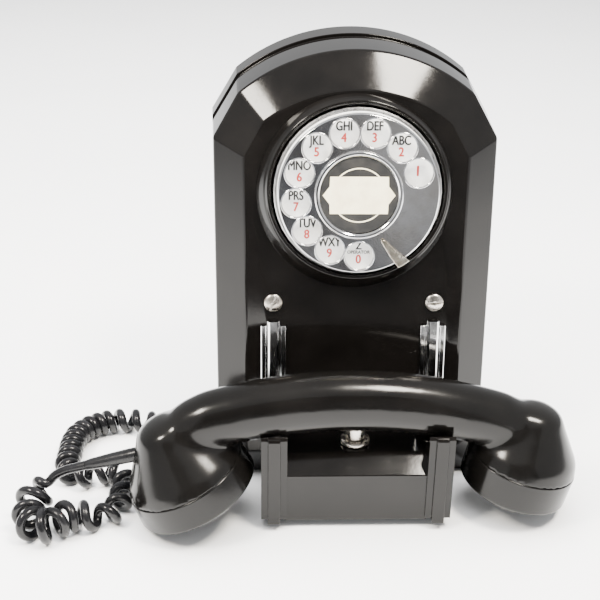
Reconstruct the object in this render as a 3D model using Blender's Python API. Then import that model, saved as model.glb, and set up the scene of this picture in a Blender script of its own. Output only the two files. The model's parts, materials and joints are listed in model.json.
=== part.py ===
"""Wall telephone with a rotary dial, every sub-part its own object.

Metres, +Z up. The telephone stands on Z = 0 and its flat back is the plane Y = BACK.
The front face looks along -Y. X = 0 is the middle of the housing.
"""

import math

import bmesh
import bpy
from mathutils import Matrix, Vector

GAP = 0.0003  # clearance between pieces that touch
UP = Vector((0, 0, 1))

# Housing, seen from the front. It tapers towards the front by DRAFT.
BACK = 0.0685
HALF_WIDTH = 0.071
DIAL_Z = 0.155  # height of the dial centre, from which the shoulders are measured
SHOULDER_LOW = 0.0195
SHOULDER_X = 0.0582
SHOULDER_HIGH = 0.0411
CROWN = 0.062
DRAFT = 0.0431
BASE_WALL = 0.003
BAND = 0.0139  # the band of the base that shows behind the groove
GROOVE_END = 0.0223
GROOVE_DEPTH = 0.0018
LIP_DEPTH = 0.004
LIP_WALL = 0.002
COVER_WALL = 0.003

# The leaning front: the plane where the bevel starts and the plane of the face.
LEAN = 0.1455
BEVEL_Y = 0.01667  # both at the height of the dial centre
FACE_Y = 0.00606
FACE_INSET = 0.0145
FACE_DROP = 0.0014
FACE_FOOT = 0.017
TILT = math.atan(LEAN)
DIAL_FOOT = Vector((0, 0.00575, 0.15288))  # the dial's axis where it meets the face

# Dial: radii, and heights above the face along the dial's axis
CASE_R = 0.0399
CASE_TOP = 0.0085
CASE_DEPTH = 0.032
CASE_WALL = 0.0015
PLATE_R = 0.0383
WHEEL_R = 0.0381
WHEEL_H = 0.0131
WHEEL_THICK = 0.0016
HOLE_R = 0.0066
HOLE_CIRCLE = 0.0296
FIRST_HOLE = math.radians(20.4)
HOLE_STEP = math.radians(27.9)
CARD_R = 0.0181
STOP_ANGLE = math.radians(-55.6)

RING_SLIP = Vector((-0.0008, -0.0020, 0))  # how far the foot of the surround sits off the axis

# Cradle and the furniture above it
TOWER_X = 0.0397
RIB = 0.003
SIDE_RIB = 0.0062
TOWER_FRONT = -0.0588
TOWER_FOOT = 0.0045
TOWER_TOP = 0.0517
PANEL_FRONT = -0.0555
PANEL_TOP = 0.030
SHELF_Y = -0.0455
SHELF_Z = 0.0372
PLUNGER_Y = -0.0365
SADDLE_Y = -0.0410
SADDLE_Z = 0.0560
SADDLE_R = 0.015
SCREW_X = 0.0398
SCREW_UP = -0.057
STRIP_TOP = -0.0664
STRIP_END = -0.1015

# Handset: it lies a little askew in the cradle, its left end forward and up. Each end has
# its own axis, through the centre of its seam, leaning by its tilt.
GRIP_Y = -0.0415
GRIP_ASKEW = 0.0483  # Y for each metre of X
GRIP_Z = 0.0633
GRIP_FALL = 0.038  # Z lost for each metre of X
GRIP_BOW = 2.14  # 1/m
GRIP_HALF_HIGH = 0.0147
GRIP_HALF_DEEP = 0.0134
HANDSET_YAW = math.atan(GRIP_ASKEW)
MOUTH_SEAM = Vector((-0.0827, -0.0455, 0.0280))
MOUTH_TILT = math.radians(-24.8)
MOUTH_R = 0.0299
MOUTH_LIP = 0.0309
MOUTH_CAP = 0.0141
EAR_SEAM = Vector((0.0830, -0.0375, 0.0285))
EAR_TILT = math.radians(13.6)
EAR_R = 0.0270
EAR_LIP = 0.0268
EAR_CAP = 0.0162

# Cord
WIRE_R = 0.0023
LEAD_R = 0.0023
COIL_R = 0.0067
RELIEF_R = 0.0036
RELIEF_LONG = 0.024
LEAD_EXIT = Vector((-0.1072, -0.0455, 0.0362))
LEAD_WAY = Vector((-0.0388, 0.0039, -0.0122)).normalized()
ENTRY = Vector((-0.0690, 0.0180, 0.0090))

LEAD_ROUTE = (
    (-0.1350, -0.0427, 0.0274),
    (-0.1410, -0.0420, 0.0252),
    (-0.1460, -0.0418, 0.0222),
)
COIL_ROUTE = (
    (-0.1492, -0.0424, 0.0188),
    (-0.1538, -0.0450, 0.0155),
    (-0.1570, -0.0502, 0.0124),
    (-0.1574, -0.0568, 0.0100),
    (-0.1538, -0.0628, 0.0086),
    (-0.1474, -0.0642, 0.0078),
    (-0.1422, -0.0600, 0.0072),
    (-0.1374, -0.0560, 0.0069),
    (-0.1310, -0.0552, 0.0069),
    (-0.1245, -0.0553, 0.0069),
    (-0.1192, -0.0518, 0.0069),
    (-0.1162, -0.0458, 0.0069),
    (-0.1151, -0.0380, 0.0069),
    (-0.1147, -0.0290, 0.0069),
    (-0.1164, -0.0212, 0.0069),
    (-0.1222, -0.0166, 0.0069),
    (-0.1298, -0.0175, 0.0069),
    (-0.1370, -0.0200, 0.0069),
    (-0.1435, -0.0172, 0.0069),
    (-0.1462, -0.0090, 0.0069),
    (-0.1462, 0.0000, 0.0069),
    (-0.1464, 0.0090, 0.0069),
    (-0.1450, 0.0180, 0.0069),
    (-0.1400, 0.0258, 0.0069),
    (-0.1325, 0.0310, 0.0069),
    (-0.1240, 0.0332, 0.0069),
    (-0.1150, 0.0328, 0.0069),
    (-0.1060, 0.0302, 0.0069),
    (-0.0980, 0.0260, 0.0069),
    (-0.0925, 0.0215, 0.0069),
)
ENTRY_ROUTE = (
    (-0.0905, 0.0200, 0.0070),
    (-0.0855, 0.0185, 0.0078),
    (-0.0785, 0.0180, 0.0088),
    (-0.0732, 0.0180, 0.0090),
)

FINISHES = {
    # name: (colour, roughness, metallic)
    "black phenolic": ((0.012, 0.010, 0.009), 0.12, 0.0),
    "handset phenolic": ((0.022, 0.018, 0.014), 0.22, 0.0),
    "chrome": ((0.75, 0.76, 0.78), 0.08, 1.0),
    "nickel": ((0.62, 0.60, 0.56), 0.25, 1.0),
    "steel": ((0.48, 0.48, 0.47), 0.40, 1.0),
    "brass": ((0.72, 0.53, 0.25), 0.30, 1.0),
    "white enamel": ((0.86, 0.85, 0.82), 0.20, 0.0),
    "card": ((0.80, 0.74, 0.56), 0.55, 0.0),
    "winding": ((0.30, 0.12, 0.05), 0.45, 0.0),
    "insulation": ((0.10, 0.07, 0.04), 0.60, 0.0),
    "rubber": ((0.015, 0.015, 0.015), 0.45, 0.0),
}


# --- Modelling helpers -------------------------------------------------------------------------


def clear_scene():
    for obj in list(bpy.data.objects):
        bpy.data.objects.remove(obj, do_unlink=True)


def finish(name):
    """The Principled material of a finish, made once."""
    found = bpy.data.materials.get(name)
    if found:
        return found
    colour, roughness, metallic = FINISHES[name]
    material = bpy.data.materials.new(name)
    material.use_nodes = True
    shader = material.node_tree.nodes["Principled BSDF"]
    shader.inputs["Base Color"].default_value = (*colour, 1)
    shader.inputs["Roughness"].default_value = roughness
    shader.inputs["Metallic"].default_value = metallic
    material.diffuse_color = (*colour, 1)
    return material


def link(name, data, material=None, parent=None):
    obj = bpy.data.objects.new(name, data)
    bpy.context.scene.collection.objects.link(obj)
    obj.parent = parent
    if material:
        data.materials.append(finish(material))
    return obj


def frame(name, place, turn=(0, 0, 0)):
    """An empty that places and turns the pieces parented to it."""
    empty = link(name, None)
    empty.location = place
    empty.rotation_euler = turn
    return empty


def piece(name, bm, material, parent=None):
    """The object of a closed bmesh, shaded smooth with its edges kept."""
    bmesh.ops.recalc_face_normals(bm, faces=bm.faces)
    mesh = bpy.data.meshes.new(name)
    bm.to_mesh(mesh)
    bm.free()
    mesh.shade_smooth()
    mesh.set_sharp_from_angle(angle=math.radians(35))
    return link(name, mesh, material, parent)


def box(low, high, bm=None):
    """A box between two corners, added to bm if one is given."""
    bm = bm or bmesh.new()
    low, high = Vector(low), Vector(high)
    size = high - low
    matrix = Matrix.Translation((low + high) / 2) @ Matrix.Diagonal((*size, 1))
    bmesh.ops.create_cube(bm, size=1, matrix=matrix)
    return bm


def loft(rings, bm=None):
    """A closed body through rings of equally many points, with a face over each end."""
    bm = bm or bmesh.new()
    rows = [[bm.verts.new(point) for point in ring] for ring in rings]
    count = len(rows[0])
    for one, two in zip(rows, rows[1:]):
        for i in range(count):
            j = (i + 1) % count
            bm.faces.new((one[i], one[j], two[j], two[i]))
    bm.faces.new(rows[0])
    bm.faces.new(rows[-1])
    return bm


def prism(outline, low, high, axis="X", bm=None):
    """An outline in the two other directions, extruded from low to high along an axis."""
    place = {
        "X": lambda p, d: (d, p[0], p[1]),
        "Y": lambda p, d: (p[0], d, p[1]),
        "Z": lambda p, d: (p[0], p[1], d),
    }[axis]
    return loft([[place(p, d) for p in outline] for d in (low, high)], bm)


def circle(radius, height, steps):
    turn = 2 * math.pi / steps
    return [(radius * math.cos(turn * i), radius * math.sin(turn * i), height) for i in range(steps)]


def turned(profile, steps=32, bm=None):
    """A solid turned about Z from (radius, height) pairs that run from end to end."""
    return loft([circle(r, h, steps) for r, h in profile], bm)


def washer(profile, steps=32, bm=None):
    """A ring turned about Z from a closed section of (radius, height) pairs."""
    bm = bm or bmesh.new()
    rows = [[bm.verts.new(point) for point in circle(r, h, steps)] for r, h in profile]
    for one, two in zip(rows, rows[1:] + rows[:1]):
        for i in range(steps):
            j = (i + 1) % steps
            bm.faces.new((one[i], one[j], two[j], two[i]))
    return bm


def rod(start, end, radius, steps=16, bm=None):
    """A straight round bar between two points."""
    start, end = Vector(start), Vector(end)
    turn = UP.rotation_difference(end - start).to_matrix()
    length = (end - start).length
    rings = [[start + turn @ Vector(p) for p in circle(radius, h, steps)] for h in (0, length)]
    return loft(rings, bm)


def hidden(bm, parent=None):
    """A guide that other pieces are cut by or joined with."""
    bmesh.ops.recalc_face_normals(bm, faces=bm.faces)
    mesh = bpy.data.meshes.new("guide")
    bm.to_mesh(mesh)
    bm.free()
    obj = link("guide", mesh, None, parent)
    obj.hide_render = True
    obj.display_type = "WIRE"
    return obj


def boolean(obj, operation, bm, parent=None):
    modifier = obj.modifiers.new(operation.lower(), "BOOLEAN")
    modifier.operation = operation
    modifier.solver = "EXACT"
    modifier.object = hidden(bm, parent)


def smooth_curve(points, step):
    """Points every step or so along a smooth curve through the given points."""
    knots = [Vector(p) for p in points]
    knots = [2 * knots[0] - knots[1]] + knots + [2 * knots[-1] - knots[-2]]
    found = [knots[1]]
    for a, b, c, d in zip(knots, knots[1:], knots[2:], knots[3:]):
        count = max(1, round((c - b).length / step))
        for i in range(1, count + 1):
            t = i / count
            found.append(
                0.5
                * (
                    2 * b
                    + (c - a) * t
                    + (2 * a - 5 * b + 4 * c - d) * t**2
                    + (3 * b - a - 3 * c + d) * t**3
                )
            )
    return found


def cable(name, points, radius, sides=2):
    """A round flexible piece along points, as a bevelled curve with filled caps."""
    curve = bpy.data.curves.new(name, "CURVE")
    curve.dimensions = "3D"
    curve.bevel_depth = radius
    curve.bevel_resolution = sides
    curve.use_fill_caps = True
    spline = curve.splines.new("POLY")
    spline.points.add(len(points) - 1)
    for spot, point in zip(spline.points, points):
        spot.co = (*point, 1)
    return link(name, curve, "rubber")


# --- Housing -----------------------------------------------------------------------------------


def housing_ring(plane_y, lean=0.0, inset=0.0, drop=0.0, foot=0.0):
    """The housing's outline on a plane, as it narrows with the distance from the wall.

    The outline is set in by inset, its upper half lowered by drop and its bottom edge
    raised by foot. It runs from the bottom right, over the crown, to the bottom left.
    """

    def y_at(z):
        return plane_y + lean * (z - DIAL_Z)

    def narrowed(z):
        return DRAFT * (BACK - y_at(z)) + inset

    low = narrowed(DIAL_Z)
    high = narrowed(DIAL_Z + SHOULDER_HIGH)
    low_corner = (HALF_WIDTH - low, DIAL_Z + SHOULDER_LOW - 0.277 * low - drop)
    side = SHOULDER_X - 0.772 * high
    shoulder = DIAL_Z + SHOULDER_HIGH - 0.658 * high - drop
    crown = DIAL_Z + CROWN - narrowed(DIAL_Z + CROWN) - drop
    rise = crown - shoulder
    radius = (side**2 + rise**2) / (2 * rise)
    half_angle = math.asin(side / radius)
    arc = []
    for i in range(-6, 7):
        angle = -half_angle * i / 6
        arc.append((radius * math.sin(angle), crown - radius + radius * math.cos(angle)))
    bottom_x = HALF_WIDTH - narrowed(0)
    outline = [(bottom_x, foot), low_corner, *arc]
    outline += [(-low_corner[0], low_corner[1]), (-bottom_x, foot)]
    return [(x, y_at(z), z) for x, z in outline]


def make_rear_base():
    """A shallow tray: back plate, band, neck of the groove and the lip inside the cover."""
    band_y = BACK - BAND
    neck_y = BACK - GROOVE_END + GAP
    lip_y = neck_y - LIP_DEPTH
    lip = COVER_WALL + GAP
    inner = lip + LIP_WALL
    edge = 0.0006
    rings = [
        housing_ring(BACK, inset=edge, foot=edge),
        housing_ring(BACK - edge),
        housing_ring(band_y + edge),
        housing_ring(band_y, inset=edge, foot=edge),
        housing_ring(band_y, inset=GROOVE_DEPTH, foot=GROOVE_DEPTH),
        housing_ring(neck_y, inset=GROOVE_DEPTH, foot=GROOVE_DEPTH),
        housing_ring(neck_y, inset=lip, foot=lip),
        housing_ring(lip_y, inset=lip, foot=lip),
        housing_ring(lip_y, inset=inner, foot=inner),
        housing_ring(BACK - BASE_WALL, inset=inner, foot=inner),
    ]
    base = piece("rear_base", loft(rings), "black phenolic")
    holes = bmesh.new()
    for x, z in ((0, 0.195), (-0.035, 0.030), (0.035, 0.030)):
        rod((x, BACK - 2 * BASE_WALL, z), (x, BACK + BASE_WALL, z), 0.0026, 16, holes)
    box((-0.018, BACK - 2 * BASE_WALL, 0.088), (0.018, BACK + BASE_WALL, 0.100), holes)
    boolean(base, "DIFFERENCE", holes)


def make_front_cover(dial_axis):
    """The moulded cover: drafted sides, a bevel all round and a leaning flat face."""
    rim_y = BACK - GROOVE_END
    rings = [
        housing_ring(FACE_Y, LEAN, FACE_INSET, FACE_DROP, FACE_FOOT),
        housing_ring(BEVEL_Y, LEAN),
        housing_ring(rim_y),
        housing_ring(rim_y, inset=COVER_WALL, foot=COVER_WALL),
        housing_ring(BEVEL_Y + 0.0015, LEAN, COVER_WALL, foot=COVER_WALL),
        housing_ring(FACE_Y + 0.0030, LEAN, FACE_INSET + 0.0009, FACE_DROP, FACE_FOOT + 0.0009),
    ]
    cover = piece("front_cover", loft(rings), "black phenolic")
    cuts = turned([(CASE_R + 0.0005, -0.010), (CASE_R + 0.0005, 0.010)], 48)
    for side in (-1, 1):
        x = side * SCREW_X
        rod((x, SCREW_UP, -0.010), (x, SCREW_UP, 0.005), 0.0021, 12, cuts)
    boolean(cover, "DIFFERENCE", cuts, dial_axis)
    window = box((-0.036, -0.030, 0.0095), (0.036, 0.004, 0.034))
    rod((ENTRY.x - 0.006, ENTRY.y, ENTRY.z), (ENTRY.x + 0.008, ENTRY.y, ENTRY.z), 0.0041, 16, window)
    boolean(cover, "DIFFERENCE", window)


def make_cover_screws(dial_axis):
    """Slotted round-headed screws; the shank goes through the cover."""
    for name, x, slot_turn in (("left", -SCREW_X, 68), ("right", SCREW_X, 4)):
        place = frame(f"cover_screw_{name}_axis", (x, SCREW_UP, GAP))
        place.parent = dial_axis
        profile = [
            (0.0018, -0.0140),
            (0.0018, 0),
            (0.0045, 0),
            (0.0045, 0.0007),
            (0.0037, 0.0016),
            (0.0020, 0.0021),
        ]
        screw = piece(f"cover_screw_{name}", turned(profile, 20), "nickel", place)
        slot = box((-0.0060, -0.0005, 0.0011), (0.0060, 0.0005, 0.0040))
        bmesh.ops.rotate(slot, verts=slot.verts, matrix=Matrix.Rotation(math.radians(slot_turn), 3, "Z"))
        boolean(screw, "DIFFERENCE", slot, place)


def make_chrome_strips(dial_axis):
    """Ribbed strips down the face above each tower: a proud middle rib and two side ribs."""
    section = [
        (-0.0062, GAP),
        (-0.0062, 0.0016),
        (-0.0058, 0.0020),
        (-0.0040, 0.0020),
        (-0.0036, 0.0012),
        (-0.0028, 0.0012),
        (-0.0026, 0.0028),
        (-0.0018, 0.0034),
    ]
    section += [(-x, h) for x, h in reversed(section)]
    for name, x in (("left", -TOWER_X), ("right", TOWER_X)):
        outline = [(x + dx, h) for dx, h in section]
        strip = piece(f"chrome_strip_{name}", prism(outline, STRIP_TOP, STRIP_END, "Y"), "chrome", dial_axis)
        step = bmesh.new()
        for edge in (-1, 1):
            near, far = sorted((x + edge * 0.0030, x + edge * 0.0070))
            box((near, STRIP_TOP - 0.0024, 0), (far, STRIP_TOP + 0.002, 0.006), step)
        boolean(strip, "DIFFERENCE", step, dial_axis)


# --- Cradle ------------------------------------------------------------------------------------


def face_y(z):
    """Y of the cover's front at a height: its face, or its bottom bevel below that."""
    if z >= FACE_FOOT:
        return FACE_Y + LEAN * (z - DIAL_Z)
    corner = FACE_Y + LEAN * (FACE_FOOT - DIAL_Z)
    bottom = BEVEL_Y - LEAN * DIAL_Z
    return bottom + (corner - bottom) * z / FACE_FOOT


def tower_outline(front, foot, top, back):
    """Side view of a tower: front, top edge, saddle for the handle, rear ear, back edge."""
    bevel = 0.0008
    drop = SADDLE_Z - top
    reach = math.sqrt(SADDLE_R**2 - drop**2)
    points = [(front + bevel, foot), (front, foot + bevel), (front, top - bevel), (front + bevel, top)]
    start = math.atan2(-drop, -reach)
    end = math.atan2(-drop, reach)
    start += 2 * math.pi
    end += 2 * math.pi
    for i in range(9):
        angle = start + (end - start) * i / 8
        points.append((SADDLE_Y + SADDLE_R * math.cos(angle), SADDLE_Z + SADDLE_R * math.sin(angle)))
    points += [(back, top), (back, foot)]
    return points


def make_cradle():
    """The moulded rest: two ribbed towers and a panel between them, hollow and open behind."""
    panel = [
        (PANEL_FRONT, TOWER_FOOT),
        (PANEL_FRONT, PANEL_TOP),
        (SHELF_Y, SHELF_Z),
        (0.0, SHELF_Z),
        (0.0, TOWER_FOOT),
    ]
    cradle = piece("handset_cradle", prism(panel, -0.0345, 0.0345), "black phenolic")
    for x in (-TOWER_X, TOWER_X):
        wide = tower_outline(TOWER_FRONT + 0.0018, TOWER_FOOT + 0.0018, TOWER_TOP, 0.001)
        boolean(cradle, "UNION", prism(wide, x - SIDE_RIB, x + SIDE_RIB))
        proud = tower_outline(TOWER_FRONT, TOWER_FOOT - 0.0003, TOWER_TOP + 0.0002, 0.002)
        boolean(cradle, "UNION", prism(proud, x - RIB, x + RIB))
    hollow = box((-0.0425, PANEL_FRONT + 0.0025, 0.0080), (0.0425, 0.0100, PANEL_TOP - 0.0010))
    boolean(cradle, "DIFFERENCE", hollow)
    roof = box((-0.0320, SHELF_Y + 0.0010, PANEL_TOP - 0.0015), (0.0320, 0.0100, SHELF_Z - 0.0025))
    boolean(cradle, "DIFFERENCE", roof)
    housing = [(0.050, -0.010), (0.050, 0.090)]
    housing += [(face_y(z) - GAP, z) for z in (0.090, FACE_FOOT, -0.010)]
    boolean(cradle, "DIFFERENCE", prism(housing, -0.060, 0.060))
    boolean(cradle, "DIFFERENCE", rod((0, PLUNGER_Y, 0.028), (0, PLUNGER_Y, 0.045), 0.0034))


def make_plunger():
    """The round button that the handset presses, and the collar it runs in."""
    axis = frame("hook_plunger_axis", (0, PLUNGER_Y, 0))
    profile = [
        (0.0030, 0.0285),
        (0.0030, 0.0383),
        (0.0045, 0.0383),
        (0.0045, 0.0466),
        (0.0038, 0.0474),
    ]
    piece("hook_plunger", turned(profile, 24), "nickel", axis)
    low = SHELF_Z + GAP
    collar = [(0.0049, low), (0.0072, low), (0.0072, low + 0.0016), (0.0064, low + 0.0024), (0.0049, low + 0.0024)]
    piece("plunger_collar", washer(collar, 24), "nickel", axis)


# --- Dial --------------------------------------------------------------------------------------


def make_dial_surround(axis):
    ring = [
        (0.0407, GAP),
        (0.0473, GAP),
        (0.0470, 0.0012),
        (0.0446, 0.0054),
        (0.0438, 0.0060),
        (0.0430, 0.0074),
        (0.0424, 0.0076),
        (0.0412, 0.0072),
        (0.0407, 0.0064),
    ]
    surround = washer(ring, 44)
    for vert in surround.verts:
        if vert.co.xy.length > CASE_R + 0.0015:
            vert.co += RING_SLIP * max(0, 1 - vert.co.z / 0.0060)
    piece("dial_mounting_ring", surround, "black phenolic", axis)
    plate_low = CASE_TOP - 0.0020
    case = [
        (CASE_R, -CASE_DEPTH),
        (CASE_R, CASE_TOP - 0.0006),
        (CASE_R - 0.0006, CASE_TOP),
        (0.0046, CASE_TOP),
        (0.0046, plate_low),
        (CASE_R - CASE_WALL, plate_low),
        (CASE_R - CASE_WALL, -CASE_DEPTH),
    ]
    piece("dial_case", washer(case, 40), "steel", axis)
    plate = [(0.0060, 0.0093), (PLATE_R, 0.0093), (PLATE_R, 0.0101), (PLATE_R - 0.0004, 0.0103), (0.0060, 0.0103)]
    piece("number_plate", washer(plate, 40), "white enamel", axis)


def make_finger_wheel(axis):
    top = WHEEL_H + WHEEL_THICK
    rim = 0.0005
    profile = [
        (WHEEL_R - rim, WHEEL_H),
        (WHEEL_R, WHEEL_H + rim),
        (WHEEL_R, top - rim),
        (WHEEL_R - rim, top),
    ]
    wheel = piece("finger_wheel", turned(profile, 48), "chrome", axis)
    holes = bmesh.new()
    for i in range(10):
        angle = FIRST_HOLE + i * HOLE_STEP
        x = HOLE_CIRCLE * math.cos(angle)
        y = HOLE_CIRCLE * math.sin(angle)
        rod((x, y, WHEEL_H - 0.002), (x, y, top + 0.002), HOLE_R, 16, holes)
    boolean(wheel, "DIFFERENCE", holes, axis)


def make_card(axis):
    low = WHEEL_H + WHEEL_THICK + GAP
    ring = [
        (0.0184, low),
        (0.0209, low),
        (0.0209, low + 0.0010),
        (0.0203, low + 0.0018),
        (0.0192, low + 0.0018),
        (0.0184, low + 0.0011),
    ]
    piece("card_ring", washer(ring, 36), "chrome", axis)
    piece("number_card", turned([(CARD_R, low), (CARD_R, low + 0.0008)], 36), "card", axis)


def make_finger_stop(axis):
    """A blade over the wheel whose foot stands on the case, outside the wheel's rim."""
    turn = frame("finger_stop_axis", (0, 0, 0), (0, 0, STOP_ANGLE))
    turn.parent = axis
    blade = [
        (0.0236, -0.0030),
        (0.0250, -0.0036),
        (0.0340, -0.0040),
        (0.0397, -0.0036),
        (0.0397, 0.0026),
        (0.0340, 0.0006),
        (0.0245, -0.0018),
    ]
    low = WHEEL_H + WHEEL_THICK + 0.0010
    stop = piece("finger_stop", prism(blade, low, low + 0.0014, "Z"), "chrome", turn)
    foot = box((0.0385, -0.0030, CASE_TOP + GAP), (0.0397, 0.0020, low + 0.0010))
    boolean(stop, "UNION", foot, turn)


def make_dial_works(axis):
    """What turns and counts behind the number plate."""
    shaft = [(0.0030, -0.0330), (0.0030, 0.0112), (0.0070, 0.0112), (0.0070, WHEEL_H - GAP)]
    piece("dial_shaft", turned(shaft, 24), "steel", axis)
    back = [(0.0034, -0.0315), (0.0378, -0.0315), (0.0378, -0.0300), (0.0034, -0.0300)]
    piece("dial_back_plate", washer(back, 32), "steel", axis)

    teeth = 30
    gear = []
    for i in range(teeth):
        for part, radius in ((0.0, 0.0228), (0.3, 0.0246), (0.6, 0.0246), (0.9, 0.0228)):
            angle = 2 * math.pi * (i + part) / teeth
            gear.append((radius * math.cos(angle), radius * math.sin(angle)))
    wheel = piece("main_gear", prism(gear, -0.0070, -0.0052, "Z"), "brass", axis)
    boolean(wheel, "DIFFERENCE", turned([(0.0033, -0.010), (0.0033, 0)], 20), axis)

    strip = 0.00035
    turns, steps = 2.5, 45
    inner, outer = [], []
    for i in range(steps + 1):
        angle = 2 * math.pi * turns * i / steps
        radius = 0.0050 + 0.0110 * i / steps
        for side, rim in ((-strip, inner), (strip, outer)):
            rim.append(((radius + side) * math.cos(angle), (radius + side) * math.sin(angle)))
    spring = bmesh.new()
    rows = []
    for a, b in zip(inner, outer):
        rows.append([spring.verts.new(p) for p in ((*a, -0.0035), (*b, -0.0035), (*b, 0.0025), (*a, 0.0025))])
    for one, two in zip(rows, rows[1:]):
        for i in range(4):
            j = (i + 1) % 4
            spring.faces.new((one[i], one[j], two[j], two[i]))
    spring.faces.new(rows[0])
    spring.faces.new(rows[-1])
    piece("dial_mainspring", spring, "steel", axis)


def make_governor(axis):
    """A spindle with two weights that spins in its cup, across the back of the dial."""
    spin = frame("governor_axis", (0, 0.0200, -0.0170), (0, math.pi / 2, 0))
    spin.parent = axis
    profile = [
        (0.0010, -0.0180),
        (0.0010, -0.0100),
        (0.0022, -0.0100),
        (0.0022, -0.0020),
        (0.0010, -0.0020),
        (0.0010, 0.0040),
        (0.0044, 0.0040),
        (0.0044, 0.0080),
        (0.0010, 0.0080),
        (0.0010, 0.0125),
    ]
    piece("governor", turned(profile, 16), "brass", spin)
    cup = [
        (0.0060, 0.0020),
        (0.0060, 0.0110),
        (0.0014, 0.0110),
        (0.0014, 0.0100),
        (0.0050, 0.0100),
        (0.0050, 0.0020),
    ]
    piece("governor_cup", washer(cup, 20), "brass", spin)


def make_impulse_contacts(axis):
    """Three contact springs clamped in an insulating stack, beside the shaft."""
    stack = box((-0.0300, -0.0160, -0.0260), (-0.0220, -0.0060, -0.0140))
    contacts = piece("impulse_contacts", stack, "insulation", axis)
    for height in (-0.0240, -0.0205, -0.0170):
        leaf = box((-0.0225, -0.0140, height), (-0.0060, -0.0080, height + 0.0006))
        boolean(contacts, "UNION", leaf, axis)


# --- Inside the housing ------------------------------------------------------------------------


def make_ringer():
    """Two coils on a yoke, two gongs on its arms and the clapper between them."""
    plate_y = 0.0435
    ringer = piece("ringer_frame", box((-0.042, plate_y, 0.055), (0.042, plate_y + 0.002, 0.067)), "steel")
    boolean(ringer, "UNION", box((-0.026, plate_y + 0.001, 0.059), (0.026, 0.0652, 0.062)))
    gong_x = 0.0315
    gong_z = 0.0610
    holes = bmesh.new()
    for x in (-gong_x, gong_x):
        rod((x, 0.040, gong_z), (x, 0.050, gong_z), 0.0020, 12, holes)
    boolean(ringer, "DIFFERENCE", holes)
    cup = [
        (0.0024, 0.0120),
        (0.0120, 0.0120),
        (0.0215, 0.0080),
        (0.0245, 0.0),
        (0.0233, 0.0),
        (0.0206, 0.0070),
        (0.0116, 0.0106),
        (0.0024, 0.0106),
    ]
    screw = [
        (0.0017, -0.0110),
        (0.0017, 0.0123),
        (0.0040, 0.0123),
        (0.0040, 0.0138),
        (0.0028, 0.0146),
    ]
    for name, x in (("left", -gong_x), ("right", gong_x)):
        axis = frame(f"gong_{name}_axis", (x, 0.0420, gong_z), (math.pi / 2, 0, 0))
        piece(f"gong_{name}", washer(cup, 24), "brass", axis)
        piece(f"gong_screw_{name}", turned(screw, 16), "steel", axis)
        coil = [
            (0.0085, 0.0623),
            (0.0085, 0.0640),
            (0.0074, 0.0640),
            (0.0074, 0.0900),
            (0.0085, 0.0900),
            (0.0085, 0.0917),
            (0.0034, 0.0917),
            (0.0034, 0.0950),
        ]
        place = frame(f"ringer_coil_{name}_axis", (math.copysign(0.0125, x), 0.0555, 0))
        piece(f"ringer_coil_{name}", turned(coil, 24), "winding", place)
    make_clapper()


def make_clapper():
    """The armature rocks over the two coils and swings the ball between the gongs."""
    pivot_z = 0.0990
    axis = frame("clapper_axis", (0, 0.0555, pivot_z))
    arm = box((-0.0180, -0.0050, -0.0015), (0.0180, 0.0050, 0.0015))
    clapper = piece("clapper", arm, "steel", axis)
    stem = rod((0, -0.0040, 0), (0, -0.0205, 0), 0.0012, 10)
    boolean(clapper, "UNION", stem, axis)
    boolean(clapper, "UNION", rod((0, -0.0200, 0.0010), (0, -0.0200, -0.0375), 0.0013, 10), axis)
    ball = bmesh.new()
    bmesh.ops.create_icosphere(ball, subdivisions=2, radius=0.0038, matrix=Matrix.Translation((0, -0.0200, -0.0380)))
    boolean(clapper, "UNION", ball, axis)


def make_hook_switch():
    """A lever on a pin between two cheeks; the plunger's foot works its front end."""
    pin_y, pin_z = 0.0080, 0.0220
    bracket = piece("hook_switch_bracket", box((-0.0085, 0.0010, 0.0120), (0.0085, 0.0330, 0.0140)), "steel")
    for side in (-1, 1):
        low, high = sorted((side * 0.0065, side * 0.0085))
        boolean(bracket, "UNION", box((low, 0.0020, 0.0130), (high, 0.0140, 0.0260)))
    boolean(bracket, "UNION", box((-0.0085, 0.0315, 0.0130), (0.0085, 0.0330, 0.0390)))
    boolean(bracket, "DIFFERENCE", rod((-0.020, pin_y, pin_z), (0.020, pin_y, pin_z), 0.0018, 12))
    piece("hook_lever_pin", rod((-0.0100, pin_y, pin_z), (0.0100, pin_y, pin_z), 0.0015, 12), "steel")

    axis = frame("hook_lever_axis", (0, pin_y, pin_z))
    arm = [
        (-0.0480, 0.0040),
        (-0.0480, 0.0058),
        (0.0060, 0.0058),
        (0.0140, 0.0030),
        (0.0140, 0.0012),
        (0.0050, 0.0000),
        (0.0040, -0.0034),
        (-0.0040, -0.0034),
        (-0.0060, 0.0040),
    ]
    lever = piece("hook_lever", prism(arm, -0.0040, 0.0040), "nickel", axis)
    boolean(lever, "DIFFERENCE", rod((-0.010, 0, 0), (0.010, 0, 0), 0.0018, 12), axis)

    pile = piece("hook_switch_springs", box((-0.0050, 0.0265, 0.0143), (0.0050, 0.0312, 0.0360)), "insulation")
    for height in (0.0160, 0.0190, 0.0340):
        boolean(pile, "UNION", box((-0.0030, 0.0150, height), (0.0030, 0.0270, height + 0.0006)))


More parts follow.
